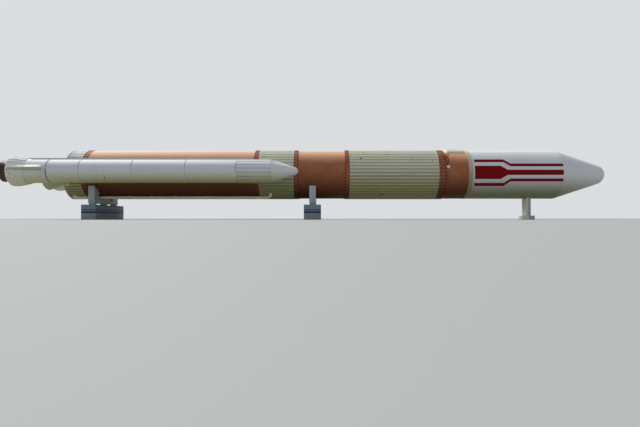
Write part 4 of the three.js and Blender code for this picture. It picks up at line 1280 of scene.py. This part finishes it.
def frontStrutParts():
    middleX = frontStrut["x"]
    parts = [block(frontStrut["body"], (middleX, frontStrut["bodyOut"], 0), bevel=0.012),
             block(frontStrut["plate"], (middleX, frontStrut["plateOut"], 0), bevel=0.01)]
    for x in (middleX - frontStrut["boltX"], middleX + frontStrut["boltX"]):
        for z in (-frontStrut["boltZ"], frontStrut["boltZ"]):
            parts.append(rod((x, 0.43, z), (x, 0.492, z), 0.012, sides=6))
    return parts


def aftStrutParts():
    half = math.radians(aftStrut["plateHalf"])
    angles = [half * (step / 8 - 1) for step in range(17)]
    plate = []  # a curved plate on the core
    for distance, turns in ((aftStrut["plateOuter"], angles), (aftStrut["plateInner"], reversed(angles))):
        plate += [(boosterOffset - distance * math.cos(angle), distance * math.sin(angle)) for angle in turns]
    parts = [bevelled(drawnOut(plate, aftStrut["plateStart"], aftStrut["plateEnd"]), 0.008)]
    collar = aftStrut["collar"]
    for way in (-1, 1):
        low, high = (aftStrut[end] * Vector((1, 1, way)) for end in ("low", "high"))
        parts.append(rod(low, high, aftStrut["radius"], sides=28))
        run = (high - low).normalized()
        for place in (low + run * 0.1, high - run * 0.09):
            parts.append(rod(place - run * 0.035, place + run * 0.035, collar, collar * 0.8, 28))
    return parts


caseEnds = [ringEnd, *(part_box("right_case_" + str(number))[1].x for number in (1, 2, 3, 4))]
for side in ("right", "left"):
    mirror = side == "left"
    at = boosterAxis[side]
    piecesOfBooster = [
        ("aft_skirt", aftSkirtParts(), "boosterPaint", "white_paint"),
        ("nozzle", nozzleParts(), "nozzleLiner", "nozzle_liner"),
        ("aft_ring", aftRingParts(), "rustyRing", "steel"),
        ("cable_tunnel", tunnelParts(), "tunnelPaint", "grey_paint"),
        ("side_housing", housingParts(), "boosterPaint", "white_paint"),
        ("forward_skirt", forwardSkirtParts(), "boosterPaint", "white_paint"),
        ("nose_cone", noseConeParts(), "boosterPaint", "white_paint"),
        ("front_strut", frontStrutParts(), "boosterPaint", "white_paint"),
        ("aft_strut", aftStrutParts(), "boosterPaint", "white_paint"),
    ]
    for number, (start, end) in enumerate(zip(caseEnds, caseEnds[1:])):
        start += caseGap if number else 0
        parts = caseParts(start, end, lip=number < 3, dome=number == 0)
        piecesOfBooster.append(("case_" + str(number + 1), parts, "boosterPaint", "white_paint"))
    for node, parts, finish, slot in piecesOfBooster:
        name = side + "".join(word.capitalize() for word in node.split("_"))
        body = side + "_nozzle_body" if node == "nozzle" else "root"
        makePiece(name, parts, finish, slot, [side + "_" + node], body, at, mirror)
    marks = [stud(x, radius, size, rise, 16, angle) for x, radius, size, rise, angle in darkMarks]
    makePiece(side + "DarkMarks", marks, "openingDark", "steel", at=at, mirror=mirror)
    repaint(side + "_nozzle_ring", "bareSteel")
    print(side, "booster made")

# Supports

origin = Vector((0, 0, 0))
supports = {"foot": 0.06, "slant": 1.14, "cradle": 1.017, "cradleHalf": 0.35, "notch": 1.085,
            "notchLean": 0.035, "pad": 0.32, "feet": (-0.99, 0, 0.99), "footWidth": 0.17}


def saddleParts(low, high, blockTop):
    x, half, top = (low.x + high.x) / 2, high.y, high.z
    bottom = blockTop + supports["foot"]
    slantReach = supports["slant"] * math.sqrt(2)
    notchZ = coreAxis.z - supports["notch"]
    right = [(half, bottom), (half, top), (slantReach - (coreAxis.z - top), top),
             (slantReach - supports["notch"], notchZ),
             (supports["cradleHalf"] + supports["notchLean"], notchZ),
             (supports["cradleHalf"], coreAxis.z - supports["cradle"])]
    points = right + [(-y, z) for y, z in reversed(right)]
    parts = [bevelled(drawnOut(points, low.x, high.x), 0.012, 3)]
    for y in supports["feet"]:
        foot = (high.x - low.x - 0.03, supports["footWidth"], supports["foot"] + 0.006)
        parts.append(block(foot, (x, y, blockTop + foot[2] / 2), bevel=0.004))
        for way in (-1, 1):  # anchor bolts on small plates
            anchor = [(x + way * 0.155, y, blockTop + rise) for rise in (-0.002, 0.014)]
            parts.append(rod(*anchor, 0.011, sides=6))
            parts.append(block((0.06, 0.06, 0.007), (x + way * 0.148, y, blockTop + 0.003), bevel=0.001))
    for angle in (135, -135):
        pad = block((high.x - low.x - 0.04, supports["pad"], 0.17), (0, 0, 0.99 + 0.085), bevel=0.006)
        parts.append(moved(pad, Matrix.Translation((x, 0, coreAxis.z)) @ turnX(angle)))
    return parts


for place in ("rear", "middle"):
    blockLow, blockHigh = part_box(place + "_block")
    body = block(tuple(blockHigh - blockLow), tuple((blockHigh + blockLow) / 2), bevel=0.016)
    makePiece(place + "Block", [body], "blockPaint", "concrete", [place + "_block"], at=origin)
    parts = saddleParts(*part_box(place + "_saddle"), blockHigh.z)
    makePiece(place + "Saddle", parts, "saddlePaint", "concrete", [place + "_saddle"], at=origin)

column = {"length": 0.15, "width": 0.535, "recess": 0.042, "recessWidth": 0.36, "top": 0.93, "baseTop": 0.165}
halfLength, halfWidth = column["length"] / 2, column["width"] / 2
halfRecess, innerX = column["recessWidth"] / 2, column["length"] / 2 - column["recess"]
quarter = [(halfWidth, halfLength), (halfRecess + 0.01, halfLength), (halfRecess, innerX)]
nearSide = [(-y, -x) for y, x in quarter] + [(y, -x) for y, x in reversed(quarter)]
plan = nearSide + [(-y, -x) for y, x in nearSide]
post = bevelled(drawnOut(plan, column["baseTop"], column["top"]), 0.006)
post = moved(post, Matrix.Translation((columnX, 0, 0)) @ Matrix.Rotation(math.radians(-90), 4, "Y"))
makePiece("frontColumnPost", [post], "columnPaint", "concrete", ["front_column"], at=origin)
baseLow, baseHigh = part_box("front_base")
base = bevelled(block(tuple(baseHigh - baseLow), tuple((baseHigh + baseLow) / 2)), 0.02, 3)
makePiece("frontBaseBlock", [base], "columnPaint", "concrete", ["front_base"], at=origin)
print("supports made")

# Floor, light and camera

studio = {"floorHalf": 260, "floorColor": (168, 171, 170), "floorRoughness": 0.85,
          "sunEnergy": 3.2, "sunAngle": 26, "sunColor": (1.0, 0.985, 0.96), "sunFrom": (-0.42, 0.47, 0.78),
          "skyLight": ((0.88, 0.94, 1.0, 1), 0.45), "skySeen": ((0.90, 0.93, 0.96, 1), 0.78),
          "lens": 27.35, "cameraPlace": (0.1875, -20.4, 0.05), "cameraTilt": 90.57}


def placed(name, data):
    item = bpy.data.objects.new(name, data)
    bpy.context.scene.collection.objects.link(item)
    return item


floorMesh = bpy.data.meshes.new("studioFloor")
floorShape = bmesh.new()
bmesh.ops.create_grid(floorShape, x_segments=1, y_segments=1, size=studio["floorHalf"])
floorShape.to_mesh(floorMesh)
floorShape.free()
floorPaint = Finish("floorPaint")
floorPaint.color = paint(*studio["floorColor"])
floorMesh.materials.append(floorPaint.done(studio["floorRoughness"]))
placed("studioFloor", floorMesh)

sunLight = bpy.data.lights.new("softSun", "SUN")
sunLight.energy = studio["sunEnergy"]
sunLight.angle = math.radians(studio["sunAngle"])
sunLight.color = studio["sunColor"]
softSun = placed("softSun", sunLight)
softSun.rotation_euler = Vector(studio["sunFrom"]).to_track_quat("Z", "Y").to_euler()

world = bpy.data.worlds.new("paleSky")  # one sky lights the scene, a paler one is seen behind it
world.use_nodes = True
bpy.context.scene.world = world
skyNodes, skyLinks = world.node_tree.nodes, world.node_tree.links
skyNodes.clear()
skyOutput = skyNodes.new("ShaderNodeOutputWorld")
skyMix = skyNodes.new("ShaderNodeMixShader")
skyPath = skyNodes.new("ShaderNodeLightPath")
for number, (color, strength) in enumerate([studio["skyLight"], studio["skySeen"]], 1):
    back = skyNodes.new("ShaderNodeBackground")
    back.inputs["Color"].default_value = color
    back.inputs["Strength"].default_value = strength
    skyLinks.new(back.outputs[0], skyMix.inputs[number])
skyLinks.new(skyPath.outputs["Is Camera Ray"], skyMix.inputs[0])
skyLinks.new(skyMix.outputs[0], skyOutput.inputs["Surface"])

cameraData = bpy.data.cameras.new("mainCamera")
cameraData.lens = studio["lens"]
cameraData.sensor_width = 36
cameraData.clip_end = 500
mainCamera = placed("mainCamera", cameraData)
mainCamera.location = studio["cameraPlace"]
mainCamera.rotation_euler = (math.radians(studio["cameraTilt"]), 0, 0)
bpy.context.scene.camera = mainCamera
bpy.context.scene.view_settings.view_transform = "Standard"

print("stage made")
